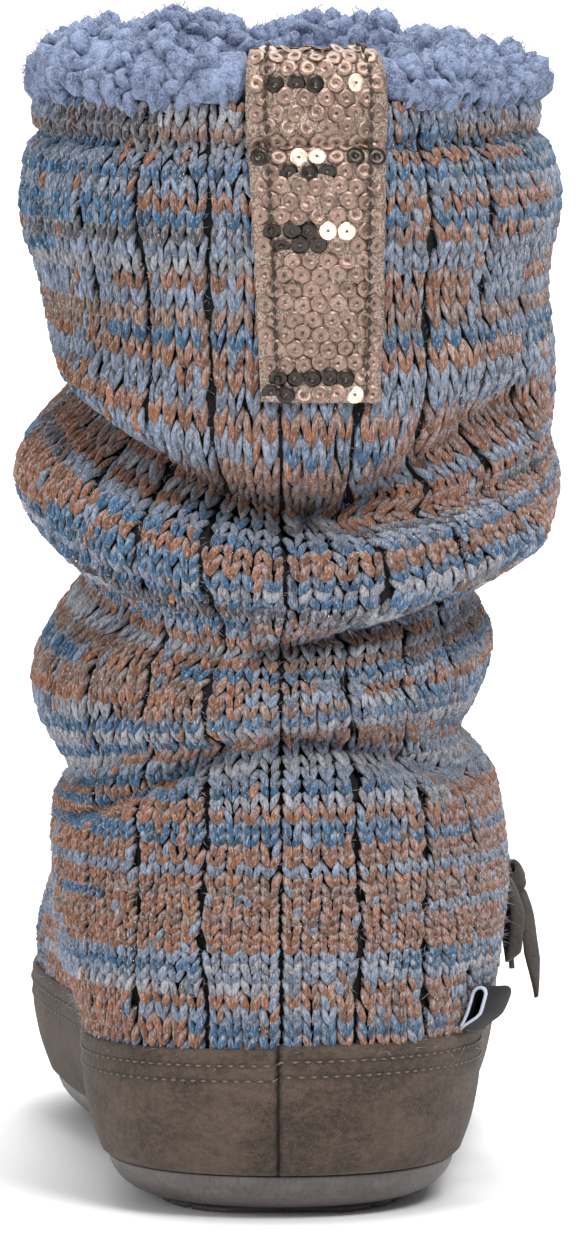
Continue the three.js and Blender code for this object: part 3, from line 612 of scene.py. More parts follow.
def spindles(paths, facing, radii, sides, flat=1.0):
    """Closed tubes along many paths at once, pointed at both ends: paths are (tubes, points, 3), facing is
    the direction that each tube's upper side looks, radii are (tubes, points) and count at inner points."""
    tubes, count, _ = paths.shape
    along = unit(np.gradient(paths, axis=1))
    across = unit(np.cross(along, facing))
    face = np.cross(across, along)
    turn = circle(sides) + math.pi / 2
    ring = np.cos(turn)[:, None] * across[:, 1:-1, None] + flat * np.sin(turn)[:, None] * face[:, 1:-1, None]
    body = paths[:, 1:-1, None] + ring * radii[:, 1:-1, None, None]
    points = np.concatenate([body.reshape(tubes, -1, 3), paths[:, :1], paths[:, -1:]], axis=1)
    size = (count - 2) * sides
    j = np.arange(sides)
    last = size - sides
    caps = np.vstack([
        np.stack([np.full(sides, size), j, (j + 1) % sides], axis=1),
        np.stack([np.full(sides, size + 1), last + (j + 1) % sides, last + j], axis=1),
    ])
    body_faces = grid_faces(count - 2, sides, wrap=True)[:, ::-1] if count > 3 else np.zeros((0, 4), int)
    starts = (np.arange(tubes) * (size + 2))[:, None, None]
    wall = (body_faces[None] + starts).reshape(-1, 4)
    tips = (caps[None] + starts).reshape(-1, 3)
    place = np.linspace(0, 1, count)
    share = np.concatenate([np.repeat(place[1:-1], sides), place[[0, -1]]])
    swirl = np.concatenate([np.tile(turn, count - 2), [0, 0]]) + PLY_TWIST * share
    twist = np.stack([np.cos(swirl), np.sin(swirl), share], axis=1)
    return points.reshape(-1, 3), [wall, tips], np.tile(twist, (tubes, 1))


class Panel:
    """A knitted panel as a grid of points, looked up by course and by wale, with the normal there."""

    def __init__(self, points, courses, wales):
        self.points = points
        self.courses = courses
        self.wales = wales
        up = np.gradient(points, axis=0)
        across = np.gradient(points, axis=1)
        self.normals = unit(np.cross(across, up))

    def at(self, course, wale):
        """Points and normals between the grid's points, by proportion both ways."""
        i = np.interp(course, self.courses, np.arange(len(self.courses)))
        j = np.interp(wale, self.wales, np.arange(len(self.wales)))
        i0 = np.clip(i.astype(int), 0, len(self.courses) - 2)
        j0 = np.clip(j.astype(int), 0, len(self.wales) - 2)
        s, t = (i - i0)[..., None], (j - j0)[..., None]

        def blend(grid):
            low = grid[i0, j0] * (1 - t) + grid[i0, j0 + 1] * t
            high = grid[i0 + 1, j0] * (1 - t) + grid[i0 + 1, j0 + 1] * t
            return low * (1 - s) + high * s

        return blend(self.points), unit(blend(self.normals))


def shaft_panel():
    """Shaft and quarters: a wale keeps its distance from the back seam below the ankle, and shares the way
    round evenly above it. Courses are spaced by the mean length of the knit from the band up. Ladders are
    drawn in above the ankle, by a bell of the distance from them, and slow waves make the knit sag."""
    heights = np.concatenate([np.linspace(*rows) for rows in PANEL_ROWS])
    wales = np.linspace(-GROUPS, GROUPS, 2 * GROUPS * PER_GROUP + 1)
    fine = np.linspace(0, math.pi, 400)
    theta = np.zeros((len(heights), len(wales)))
    meridians = []
    for i, v in enumerate(heights):
        for way in (-1, 1):
            arc = way_along(skin(way * fine, v))
            even = arc[-1] / (GROUPS * WALE_GROUP)
            stretch = 1 + (even - 1) * smooth(*EVEN, v)
            mine = wales * way >= 0
            theta[i, mine] = way * np.interp(np.abs(wales[mine]) * WALE_GROUP * stretch, arc, fine)
        wave = np.sin(v / SWAY["high"] + 5 * np.sin(wales * 1.3))
        theta[i] += SWAY["angle"] * wave * smooth(0, 1, np.abs(wales))
        lean = ROLL_LEAN["angle"] * smooth(*ROLL_LEAN["comes"], v) * (1 - smooth(*ROLL_LEAN["goes"], v))
        theta[i] += lean * smooth(-0.2, 0.7, np.sin(theta[i])) * smooth(-0.2, 0.4, np.cos(theta[i]))
        meridians.append(skin(np.linspace(-math.pi, math.pi, 60), v))
    rise = np.linalg.norm(np.diff(np.array(meridians), axis=0), axis=2).mean(axis=1)
    courses = np.concatenate([[0], np.cumsum(rise)]) / COURSE
    level = heights[:, None]
    smooth_panel = Panel(skin(theta, level), courses, wales)
    at_ladder = bell(wales - np.round(wales), LADDER["wide"])
    lift = LADDER["proud"] - LADDER["pinch"] * at_ladder * smooth(*LADDER["over"], level)
    slow = np.sin(wales * 1.7 + level / SAG["long"])
    sag = SAG["depth"] * np.sin(level / SAG["high"] + 4 * np.sin(wales * 0.9)) * slow
    points = smooth_panel.points + smooth_panel.normals * (lift + sag)[..., None]
    return Panel(points, courses, wales), heights, theta


def stitches(panel, course, wale, gap_holes, hues):
    """Two legs for each stitch. A leg starts at the point of the V, in front of the stitch below, swells,
    leans out and dips behind the stitch above. Near a hole the yarn bows away from the hole's middle."""
    pitch = (1 - 2 * LADDER["share"]) / 4
    c, w = [], []
    for way in (-1, 1):
        wobble = random.normal(0, UNEVEN["wale"], (len(course), 1))
        slip = random.normal(0, UNEVEN["course"], (len(course), 1))
        c.append(course[:, None] - LEG_SPAN["below"] + LEG_SPAN["reach"] * LEG["t"] + slip)
        w.append(wale[:, None] + (way * LEG["lean"] + wobble) * pitch)
    c, w = np.concatenate(c), np.concatenate(w)
    for hole in gap_holes:
        dx = (w - hole["wale"]) * WALE_GROUP
        dc = (c - hole["course"]) * COURSE / hole["high"]
        bow = np.clip(1 - dc**2, 0, 1) * np.exp(-np.abs(dx) / HOLE["draw"]) * hole["wide"]
        w = w + np.sign(dx) * bow / WALE_GROUP
    points, normals = panel.at(c, w)
    beside = panel.at(course, wale + 0.1)[0] - panel.at(course, wale - 0.1)[0]
    stretch = np.clip(np.linalg.norm(beside, axis=1) / 0.2 / WALE_GROUP, 0.8, 1.35)
    stretch = np.concatenate([stretch, stretch])[:, None]
    paths = points + normals * (LEG["lift"] + random.normal(0, UNEVEN["lift"], (len(c), 1)))[..., None]
    radii = YARN["radius"] * LEG["thickness"] * stretch * random.normal(1, UNEVEN["thickness"], (len(c), 1))
    shape, faces, twist = spindles(paths, normals, radii, YARN["sides"], YARN["flat"])
    colours = np.concatenate([hues, hues])
    stray = random.random(len(colours))[:, None]
    colours = np.where(stray > 1 - STRAYS["rust"], HUES[3], colours)
    colours = np.where(stray < STRAYS["grey blue"], HUES[1], colours)
    colours = colours * random.normal(1, UNEVEN["tone"], (len(colours), 1))
    per_leg = len(shape) // len(colours)
    yarn = np.concatenate([np.repeat(colours, per_leg, axis=0), np.ones((len(shape), 1))], axis=1)
    return shape, faces, {"yarn": np.clip(yarn, 0, 1), "ply": twist}


def course_hues(course, wale, seed):
    """Space-dyed yarn: each course has a leading hue, most often a new one. Along it, runs of five to
    fifteen places, one for each stitch of the shaft and four on the vamp, take that hue or any other."""
    source = np.random.default_rng(seed)
    last = int(course.max()) + 2
    across = np.round((wale - wale.min()) * 4).astype(int)
    chart = np.zeros((last, across.max() + 1), int)
    lead = source.choice(6, p=HUE_SHARES)
    for row in range(last):
        if source.random() < CHANGE_SHARE:
            others = np.array(HUE_SHARES) * (np.arange(6) != lead)
            lead = source.choice(6, p=others / others.sum())
        place = 0
        while place < chart.shape[1]:
            run = source.integers(5, 16)
            own = source.random() < OWN_SHARE
            chart[row, place:place + run] = lead if own else source.choice(6, p=HUE_SHARES)
            place += run
    return HUES[chart[course.astype(int), across]]


def yarn_finish():
    """Marled wool: two plies of the stitch's own hue and a paler one, twisted, with fine fibres."""
    finish = Finish("marled_yarn")
    own = finish.attribute("yarn")
    ply = finish.add("ShaderNodeSeparateXYZ", None, {0: finish.attribute("ply", "Vector")}) * 0.5 + 0.5
    fibres = finish.noise((0.42, 0.42, 1.5), 3, 0.7)
    patches = finish.noise((2.6, 2.6, 2.2), 2, 0.5)
    paler = finish.mix(0.55, own, (0.50, 0.49, 0.52))
    darker = finish.mix(0.75, own, (0.016, 0.014, 0.017))
    colour = finish.mix(ply.above(0.4, 0.95) * 0.65 + patches.above(0.5, 0.7) * 0.2, own, paler)
    colour = finish.mix(fibres.above(0.52, 0.36) * 0.85, colour, darker)
    colour = finish.mix(fibres.above(0.55, 0.68) * 0.6, colour, (0.66, 0.64, 0.66))
    normal = finish.bump(fibres, 0.5)
    normal = finish.bump(ply, 0.35, normal)
    return finish.dress(colour, 0.95, normal, Sheen_Weight=0.15, Sheen_Roughness=0.4)


def hole_courses(group):
    """Courses of the holes in the ladder beside a group, whose first one shifts from ladder to ladder."""
    first = HOLE["first"] + (group * HOLE["shift"]) % HOLE["cycle"]
    return np.arange(first, hem_course - HOLE["below_hem"], HOLE["every"] / COURSE)


marled_yarn = yarn_finish()
panel, panel_heights, panel_theta = shaft_panel()
last_course = panel.courses[-1]
hem_course = np.interp(HEM_GROOVE, panel_heights, panel.courses)
in_group = ((np.arange(4) + 0.5) / 4) * (1 - 2 * LADDER["share"]) + LADDER["share"]
wale_places = (np.arange(-GROUPS, GROUPS)[:, None] + in_group).ravel()
course_places = np.arange(1, int(last_course) + 1)
course_grid, wale_grid = [grid.ravel() for grid in np.meshgrid(course_places, wale_places, indexing="ij")]
hues = course_hues(course_grid, wale_grid, 5)
holes = [
    {"wale": side * g, "course": c, "wide": HOLE["wide"] * random.uniform(0.5, 1), "high": HOLE["high"]}
    for g in range(1, GROUPS)
    for side in (-1, 1)
    for c in hole_courses(g)
]
bands = {"knit_quarters": (0, 22), "knit_ankle": (22, 40), "knit_roll": (40, 58), "knit_shaft": (58, 99)}
for name, (low, high) in bands.items():
    chosen = (course_grid >= low) & (course_grid < high)
    near = [hole for hole in holes if low - 3 < hole["course"] < high + 3]
    points, faces, looks = stitches(panel, course_grid[chosen], wale_grid[chosen], near, hues[chosen])
    mesh_piece(name, points, faces, marled_yarn, attributes=looks)


# Vamp: the knitted panel over the forefoot, with its wales lengthwise, sewn in along a seam that runs from
# the front of the ankle down both sides to the band.
VAMP = {"from": 112, "to": 253.2, "edge": 35.5, "pitch": 4.3, "wales": 27, "overlap": 0.015}
VAMP_GRID = {"rows": 90, "columns": 225, "fine": 160}


class VampPanel(Panel):
    """The vamp's panel, whose own wales are single ones, looked up by groups as the stitches count them."""

    def at(self, course, wale):
        return super().at(course, wale * WALE_GROUP / VAMP["pitch"])


def vamp_panel():
    """Cross curves of the forefoot, close together: at each place along the foot, the outer half from the
    top down to the band and the inner half beside it, by distance from the top line."""
    along = np.linspace(VAMP["from"], VAMP["to"], VAMP_GRID["rows"])
    level = np.linspace(SECTIONS["z"][3], SECTIONS["z"][12], 600)
    front = read(SECTIONS, "z", "front", level)
    tops = np.interp(along, front[::-1], level[::-1])
    wales = np.linspace(-VAMP["wales"] - 1, VAMP["wales"] + 1, VAMP_GRID["columns"])
    u = np.linspace(0, 1, VAMP_GRID["fine"])
    grid = np.zeros((len(along), len(wales), 3))
    theta = np.zeros(grid.shape[:2])
    height = np.zeros(grid.shape[:2])
    for i, (y, top) in enumerate(zip(along, tops)):
        v = top - (top - VAMP["edge"]) * u**2
        back, end = read(SECTIONS, "z", "back", v), read(SECTIONS, "z", "front", v)
        angle = np.arccos(np.clip(1 - 2 * (y - back) / np.maximum(end - back, 1), -1, 1))
        for way in (-1, 1):
            line = skin(way * angle, v)
            arc = way_along(line)
            mine = wales * way >= 0
            reach = np.abs(wales[mine]) * VAMP["pitch"]
            beyond = np.maximum(reach - arc[-1], 0)
            place = np.stack([np.interp(reach, arc, line[:, k]) for k in range(3)], axis=1)
            place[:, 2] -= beyond
            grid[i, mine] = place
            theta[i, mine] = np.interp(reach, arc, angle)
            height[i, mine] = np.interp(reach, arc, v) - beyond
    courses = way_along(grid[:, len(wales) // 2]) / COURSE
    return VampPanel(grid, courses, wales), theta, height


def front_edge(v):
    """Angle where the quarters end at a height, on the inner and the outer side."""
    inner = np.interp(v, panel_heights, -panel_theta[:, 0])
    return inner, np.interp(v, panel_heights, panel_theta[:, -1])


vamp, vamp_theta, vamp_height = vamp_panel()
course_places = np.arange(1, int(vamp.courses[-1]) + 1)
wale_places = np.arange(-VAMP["wales"], VAMP["wales"]) + 0.5
course_grid, wale_grid = [grid.ravel() for grid in np.meshgrid(course_places, wale_places, indexing="ij")]
i = np.clip(np.searchsorted(vamp.courses, course_grid), 0, len(vamp.courses) - 1)
j = np.clip(np.searchsorted(vamp.wales, wale_grid), 0, len(vamp.wales) - 1)
theta, height = vamp_theta[i, j], vamp_height[i, j]
inner_edge, outer_edge = front_edge(height)
limit = np.where(wale_grid > 0, outer_edge, inner_edge)
keep = (height > VAMP["edge"] - 1) & (theta > limit + VAMP["overlap"])
course_grid, wale_grid = course_grid[keep], wale_grid[keep]
hues = course_hues(course_grid, wale_grid, 23)
points, faces, looks = stitches(vamp, course_grid, wale_grid * VAMP["pitch"] / WALE_GROUP, [], hues)
mesh_piece("knit_vamp", points, faces, marled_yarn, attributes=looks)


# Insole: soft footbed covered with the same blue wool pile, laid inside the upper. It keeps the part's own
# solid, which is seen only down the shaft.
def dress_node(name, finish):
    """Gives a CAD node a finish without changing its mesh."""
    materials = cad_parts[name].data.materials
    materials.clear()
    materials.append(finish)


dress_node("insole", fleece_wool)


# Fleece: a ring of curly pile that fills the collar, spills over the rim and goes down inside. Its body
# is one lumpy roll, thick short curls of wool lie over it, and fine fibres stand out of the curls.
PILE_SECTION = np.array([
    (-3.8, 0.4), (0.4, 0.4), (1.2, 4), (-0.5, 8), (-5, 11.5), (-10.5, 12.2), (-15, 8.5), (-16.5, 0),
    (-15, -12), (-9, -21), (-6, -19), (-4.6, -8),
])
PILE = {"around": 200, "sections": 28, "lumps": 0.027}
# Tufts round the ring: share of the height, count and start. The pile is lower towards the outer side, and
# is squashed where the pull tab folds over it.
TUFTS = np.array([(0.10, 5, 1.2), (0.10, 9, 0.4), (0.07, 17, 0)])
LOWER_OUTSIDE = 0.42
UNDER_TAB = {"beside": 2.5, "out": -5.6, "from": -6, "across": 0.42, "up": 4, "height": 0.22}
CURLS = {
    "count": 1150, "points": 7, "sides": 6, "radius": 1.65, "length": 7.5, "bend": (1.5, 3.4),
    "spread": (0.09, 0.80), "off_tab": 3.2, "core": 0.95,
}
FIBRES = {"count": 21000, "length": 1.9, "thick": 0.085, "spread": 0.6}
TAB_LEFT, TAB_RIGHT = -7.5, 22.5


def over_rim(theta, out, up):
    """A point beside the rim: out from the shaft's outer face and up from its edge."""
    edge = skin(theta, RIM_HEIGHT)
    across = across_skin(theta, RIM_HEIGHT)
    outward = unit(np.stack([across[..., 1], -across[..., 0], 0 * across[..., 0]], axis=-1))
    point = edge + outward * np.asarray(out, float)[..., None]
    point[..., 2] += up
    return point


def pile_shape(theta, turn):
    """Out and up of the pile's section at a turn round it, pinched where the pull tab folds over it."""
    ring = np.vstack([PILE_SECTION, PILE_SECTION[:1]])
    reach = np.linspace(0, 1, len(ring))
    out = np.interp(turn % 1, reach, ring[:, 0])
    up = np.interp(turn % 1, reach, ring[:, 1])
    x = skin(theta, RIM_HEIGHT)[..., 0]
    behind = smooth(0.3, 0.6, np.cos(theta))
    beside = UNDER_TAB["beside"]
    pinch = smooth(TAB_LEFT - beside, TAB_LEFT, x) * (1 - smooth(TAB_RIGHT, TAB_RIGHT + beside, x)) * behind
    tufts = sum(size * np.sin(count * theta + start) for size, count, start in TUFTS)
    up = np.where(up > 0, up * (1 + tufts - LOWER_OUTSIDE * smooth(0.3, 1, np.sin(theta))), up)
    squashed_out = UNDER_TAB["out"] + (out - UNDER_TAB["from"]) * UNDER_TAB["across"]
    squashed_up = UNDER_TAB["up"] + up * UNDER_TAB["height"]
    return out * (1 - pinch) + squashed_out * pinch, up * (1 - pinch) + squashed_up * pinch


turn = np.arange(PILE["sections"]) / PILE["sections"]
theta, turn = np.meshgrid(circle(PILE["around"]), turn, indexing="ij")
out, up = pile_shape(theta, turn)
lumps = np.sin(theta * 31 + 5 * np.sin(turn * 12)) * np.sin(turn * 25 + 3 * np.sin(theta * 9))
swell = 1 + PILE["lumps"] * lumps
body = over_rim(theta, out * swell, up * swell).reshape(-1, 3)
ring_faces = grid_faces(PILE["around"] + 1, PILE["sections"], wrap=True)[:, ::-1] % len(body)
mesh_piece("fleece_body", body, [ring_faces], fleece_wool, ["fleece_lining"])

# A curl is an arc over the pile: it rises to the middle and sinks in at both ends.
wool = np.random.default_rng(3)
theta = wool.uniform(-math.pi, math.pi, CURLS["count"])
turn = wool.uniform(*CURLS["spread"], CURLS["count"])
out, up = pile_shape(theta, turn)
centre = over_rim(theta, out, up)
core_out, core_up = pile_shape(theta, np.full(len(theta), CURLS["core"]))
outward = unit(centre - over_rim(theta, core_out - 4, core_up + 2))
heading = unit(np.cross(outward, wool.normal(0, 1, centre.shape)))
side = np.cross(outward, heading)
t = np.linspace(-0.5, 0.5, CURLS["points"])
bend = wool.uniform(*CURLS["bend"], len(theta)) * wool.choice([-1, 1], len(theta))
length = CURLS["length"] * wool.uniform(0.6, 1.25, len(theta))
angle = bend[:, None] * t
radius = (length / np.abs(bend))[:, None]
paths = (
    centre[:, None]
    + heading[:, None] * (radius * np.sin(np.abs(angle)) * np.sign(t))[..., None]
    + side[:, None] * (np.sign(bend)[:, None] * radius * (1 - np.cos(angle)))[..., None]
    + outward[:, None] * (0.6 + 1.2 * np.cos(t * 6) - 2.88 * np.abs(t))[..., None]
)
thick = CURLS["radius"] * (1 - (2 * np.abs(t)) ** 3) ** 0.5 * wool.uniform(0.7, 1.2, (len(theta), 1))
thick = thick * wool.uniform(0.8, 1.2, thick.shape) * wool.uniform(0.7, 1.35, (len(theta), 1))
x, back_half = centre[:, 0], np.cos(theta) > 0.3
by_tab = (x > TAB_LEFT - CURLS["off_tab"]) & (x < TAB_RIGHT + CURLS["off_tab"])
clear = ~(by_tab & back_half & (turn < 0.5))
facing = np.repeat(outward[:, None], len(t), 1)
points, faces, _ = spindles(paths[clear], facing[clear], thick[clear], CURLS["sides"])
mesh_piece("fleece_curls", points, faces, fleece_wool)


def hairs(roots, outward, length, thick, spread, seed):
    """Loose fibres: bent three-sided spikes that stand out from the roots at random slants of a spread."""
    source = np.random.default_rng(seed)
    lean = unit(outward + source.normal(0, spread, roots.shape))
    curl = source.normal(0, 0.35, roots.shape)
    reach = length * source.uniform(0.4, 1.3, (len(roots), 1, 1))
    t = np.array([0, 0.5, 1])[None, :, None]
    paths = roots[:, None] + lean[:, None] * t * reach + curl[:, None] * t**2 * reach
    radii = np.full((len(roots), 3), thick)
    return spindles(paths, np.repeat(outward[:, None], 3, 1), radii, 3)


spots = wool.integers(0, len(paths), FIBRES["count"])
ring = wool.integers(1, CURLS["points"] - 1, FIBRES["count"])
roots = paths[spots, ring]
away = unit(outward[spots] + wool.normal(0, 0.7, roots.shape))
roots = roots + away * thick[spots, ring][:, None] * 0.85
visible = clear[spots]
sizes = [FIBRES[key] for key in ("length", "thick", "spread")]
points, faces, _ = hairs(roots[visible], away[visible], *sizes, 9)
mesh_piece("fleece_fibres", points, faces, fleece_wool)


# Pull tab: strip of sequinned cloth sewn to the back of the shaft. It lies on the knit, folds over the
# rim and goes down inside. Sequins are sewn in staggered rows on a glittering copper ground.
TAB = {"foot": 188, "foot_left": -4.2, "foot_right": 21.4, "thick": 1.6, "clear": 0.9, "half": 15}
TAB_LOOP = {"out": 1.4, "middle": -5.6, "up": 3, "rise": 8.6, "inset": 1, "down": -20}
TAB_GRID = {"rows": 40, "columns": 19, "turns": 16}
# Wrinkles across the tab: height, depth and half width.
WRINKLES = [(237.5, 0.5, 2.2), (214, -0.5, 2.5)]
SEQUIN = {
    "radius": 2.05, "hole": 0.36, "thick": 0.16, "dish": 0.04, "rim": 0.03, "sides": 14, "off_cloth": 0.2,
    "pitch": 4.2, "row": 3.3, "first_row": 1.9, "left": -12.6, "right": 14, "bare_top": 22, "off_place": 0.22,
    "tilt": 0.16,
}
# Tints: plain copper, painted shade for the tilted rows and a painted highlight for the flashes.
SEQUIN_TINTS = {
    "plain": (0.225, 0.147, 0.115), "dark": (0.020, 0.013, 0.009), "painted_flash": (0.95, 0.72, 0.55),
}
# Rows that tilt away a little and are tinted near black, painted shade: height up the tab, and from and to
# across it. Flashes are single sequins tinted pale, a painted highlight, by height and way across.
PAINTED_DARK_ROWS = [
    (5.2, -12, 9), (1.9, -14, -6), (34.9, -9.5, 6), (38.2, -13, -1), (51.4, -6.5, 5.5), (54.7, -14, -6),
    (54.7, 4, 14), (74.5, -10.5, 0),
]
DARK_HALF = 1.4
PAINTED_FLASHES = [(1.9, 8.4), (38.2, 2.9), (38.2, 7.0), (54.7, -3.5), (54.7, 1.1), (74.5, 7.5)]


def angle_at_x(x, v):
    """Angle near the back of the shaft where the knit lies a given way to the outer side."""
    fine = np.linspace(-1, 1, 400)
    return np.interp(x, skin(fine, v)[:, 0], fine)


def tab_grid(depth, rows, columns):
    """Rows of points of the tab at a depth: up the shaft's skin, round a half ellipse over the rim, and
    straight down inside."""
    across = np.linspace(0, 1, columns)
    lines = []
    for v in np.linspace(TAB["foot"], RIM_HEIGHT, rows):
        share = (v - TAB["foot"]) / (RIM_HEIGHT - TAB["foot"])
        left = TAB["foot_left"] + (TAB_LEFT - TAB["foot_left"]) * share
        right = TAB["foot_right"] + (TAB_RIGHT - TAB["foot_right"]) * share
        theta = angle_at_x(left + (right - left) * across, v)
        wrinkle = sum(deep * bell(v - middle, half) for middle, deep, half in WRINKLES)
        lines.append(lifted(theta, v, TAB["clear"] + depth + wrinkle, v == RIM_HEIGHT))
    reach = TAB_LOOP["out"] - TAB_LOOP["middle"] - TAB_LOOP["inset"] + depth
    for turn in np.linspace(0, math.pi, TAB_GRID["turns"])[1:]:
        up = TAB_LOOP["up"] + (TAB_LOOP["rise"] - TAB_LOOP["inset"] + depth) * math.sin(turn)
        lines.append(over_rim(theta, TAB_LOOP["middle"] + reach * math.cos(turn), up))
    lines.append(over_rim(theta, TAB_LOOP["middle"] - reach, TAB_LOOP["down"]))
    return np.array(lines)


def slab(front, behind):
    """Closed slab between two grids of points."""
    rows, columns = front.shape[:2]
    points = np.concatenate([front.reshape(-1, 3), behind.reshape(-1, 3)])
    size = rows * columns
    sheet = grid_faces(rows, columns)
    rim = np.concatenate([
        np.arange(columns), np.arange(2, rows) * columns - 1, rows * columns - 1 - np.arange(columns),
        np.arange(rows - 2, 0, -1) * columns,
    ])
    ahead = np.roll(rim, -1)
    edge = np.stack([rim, rim + size, ahead + size, ahead], axis=1)
    return points, [sheet, sheet[:, ::-1] + size, edge]


def tab_ground_finish():
    """Copper glitter cloth between the sequins."""
    finish = Finish("tab_ground")
    threads = finish.noise((0.45, 0.9, 0.45), 2, 0.6)
    glitter = finish.cells((0.5, 0.5, 0.5))
    colour = finish.mix(threads.above(0.35, 0.65), (0.13, 0.088, 0.07), (0.48, 0.36, 0.29))
    normal = finish.bump(threads * 0.6 + glitter * 0.4, 0.4)
    return finish.dress(colour, 0.5, normal, Metallic=0.3)


def sequin_finish():
    """Copper sequins: clear glossy film over foil; the tint holds painted shade, nearly black, on tilted
    ones and a painted highlight, pale, on flashes.
    """
    finish = Finish("sequins")
    tint = finish.attribute("tint")
    film = finish.noise((1.3, 1.3, 1.3), 2, 0.5)
    grain = finish.noise((0.35, 0.35, 0.35), 2, 0.6)
    colour = finish.mix(film.above(0.4, 0.62) * 0.35, tint, tint, "ADD")
    colour = finish.mix(grain.above(0.5, 0.7) * 0.8, colour, colour, "ADD")
    return finish.dress(colour, film * 0.3 + 0.22, finish.bump(grain, 0.08), Metallic=0.5, Coat_Weight=0.3)


front = tab_grid(TAB["thick"], TAB_GRID["rows"], TAB_GRID["columns"])
points, faces = slab(front, tab_grid(0.0, TAB_GRID["rows"], TAB_GRID["columns"]))
mesh_piece("pull_tab_cloth", points, faces, tab_ground_finish(), ["pull_tab"])

climb = way_along(front[:, TAB_GRID["columns"] // 2])
tab = Panel(front, climb, np.linspace(-TAB["half"], TAB["half"], TAB_GRID["columns"]))
row_count = int((climb[-1] - SEQUIN["bare_top"]) / SEQUIN["row"])
centres = np.array([
    (SEQUIN["first_row"] + r * SEQUIN["row"], SEQUIN["left"] + (c + 0.5 * (r % 2)) * SEQUIN["pitch"])
    for r in range(row_count)
    for c in range(6 + (r % 2 == 0))
])
centres = centres[centres[:, 1] < SEQUIN["right"]]
shine = np.random.default_rng(17)
centres = centres + shine.normal(0, SEQUIN["off_place"], centres.shape)
place, normal = tab.at(centres[:, 0], centres[:, 1])
dark = np.zeros(len(centres), bool)
for height, first, last in PAINTED_DARK_ROWS:
    dark |= (np.abs(centres[:, 0] - height) < DARK_HALF) & (centres[:, 1] > first) & (centres[:, 1] < last)
dark &= shine.random(len(centres)) < 0.95
painted_flash = np.zeros(len(centres), bool)
for spot in PAINTED_FLASHES:
    painted_flash[np.argmin(np.hypot(*(centres - spot).T))] = True
lean = np.where(dark[:, None], (0, 0, -0.22), (0, 0, 0.02))
tilt = shine.normal(0, SEQUIN["tilt"], normal.shape) + lean
facing = unit(normal + tilt)
right = unit(np.cross((0, 0, 1.0), facing))
top = np.cross(facing, right)
turn = circle(SEQUIN["sides"])
spoke = right[:, None] * np.cos(turn)[None, :, None] + top[:, None] * np.sin(turn)[None, :, None]
lower = [(SEQUIN["hole"], 0), (SEQUIN["radius"] * 0.6, -SEQUIN["dish"]), (SEQUIN["radius"], SEQUIN["rim"])]
profile = [(radius, depth + SEQUIN["thick"]) for radius, depth in lower] + lower[::-1]
discs = np.stack([
    place[:, None] + spoke * radius + facing[:, None] * (depth + SEQUIN["off_cloth"])
    for radius, depth in profile
], axis=1)
per_disc = len(profile) * SEQUIN["sides"]
disc_faces = grid_faces(len(profile) + 1, SEQUIN["sides"], wrap=True)[:, ::-1] % per_disc
disc_faces = (disc_faces + (np.arange(len(discs)) * per_disc)[:, None, None]).reshape(-1, 4)
# Painted shade and painted highlight: tilted rows take the near black tint, flashes the pale one.
tint = np.where(dark[:, None], SEQUIN_TINTS["dark"], SEQUIN_TINTS["plain"])
tint = np.where(painted_flash[:, None], SEQUIN_TINTS["painted_flash"], tint) * shine.uniform(0.82, 1.15, (len(discs), 1))
tint = np.repeat(np.concatenate([tint, np.ones((len(tint), 1))], axis=1), per_disc, axis=0)
points = discs.reshape(-1, 3)
mesh_piece("sequins", points, [disc_faces], sequin_finish(), attributes={"tint": tint})


def thread_finish(name, deep, pale):
    """Waxed thread."""
    finish = Finish(name)
    twist = finish.noise((0.3, 0.3, 0.3), 1, 0.5)
    return finish.dress(finish.mix(twist, deep, pale), 0.6, finish.bump(twist, 0.08))


dark_thread = thread_finish("dark_thread", (0.014, 0.010, 0.008), (0.050, 0.038, 0.030))
TAB_SEAM = {
    "sides": (-10.7, 11.3), "from": 2, "short_of_end": 24, "every": 2.6, "half": 1.15, "thick": 0.6,
    "rise": (0.8, 1.25, 0.8),
}
stitch = np.arange(TAB_SEAM["from"], climb[-1] - TAB_SEAM["short_of_end"], TAB_SEAM["every"])
stitch = stitch[:, None] + np.array([-1, 0, 1]) * TAB_SEAM["half"]
height = np.concatenate([stitch, stitch])
line, away = tab.at(height, np.repeat(TAB_SEAM["sides"], len(stitch))[:, None] + 0 * height)
paths = line + away * np.array(TAB_SEAM["rise"])[:, None]
points, faces, _ = spindles(paths, away, np.full(height.shape, TAB_SEAM["thick"]), 5)
mesh_piece("tab_stitching", points, faces, dark_thread)


# Foxing: suede band glued and stitched round the foot over the knit, cut in two pieces that meet in a
# raw seam at the centre of the heel. Two rows of stitching run below its top edge.
BAND = {
    "back": 40, "outer": 38, "front": 37, "inner": 36, "clear": 0.5, "thick": 1.6, "columns": 420,
    "step": 0.8, "crown": 0.33, "rounding": 0.54, "round_over": 1.2, "drawn_to_heel": 0.62,
}
BAND_ROWS = [(0, 0.66, 12), (0.68, 1, 18)]
HEEL_SEAM = {
    "at": 25.0, "x": -0.6, "sway": 0.15, "half": 0.5, "depth": 1.32, "swell": 0.36, "swell_half": 2.2,
}
# Furrows that the two rows of stitches draw in: way below the top edge, depth and half width. The holes
# of the needle are painted dark a little above them, as painted shade.
FURROWS = [(4, 0.21, 1.2), (7.4, 0.18, 1.1)]
HOLE_ROWS = {"below": (3.6, 7.0), "half": 0.35}
BAND_STITCH = {"count": 190, "half": 0.42, "below": (3.65, 7.05), "thick": 0.3, "rise": (1.95, 2.35, 1.95)}
band_suede = suede_finish("band_suede", (0.019, 0.0125, 0.0085), (0.100, 0.069, 0.050))


def band_crest(theta):
    """Height of the band's top edge, whose inner piece stands a step lower at the heel seam."""
    crest = around(theta, BAND["back"], BAND["outer"], BAND["front"], BAND["inner"])
    return crest - BAND["step"] * (np.sin(theta) < -0.012) * smooth(0.5, 1, np.cos(theta))


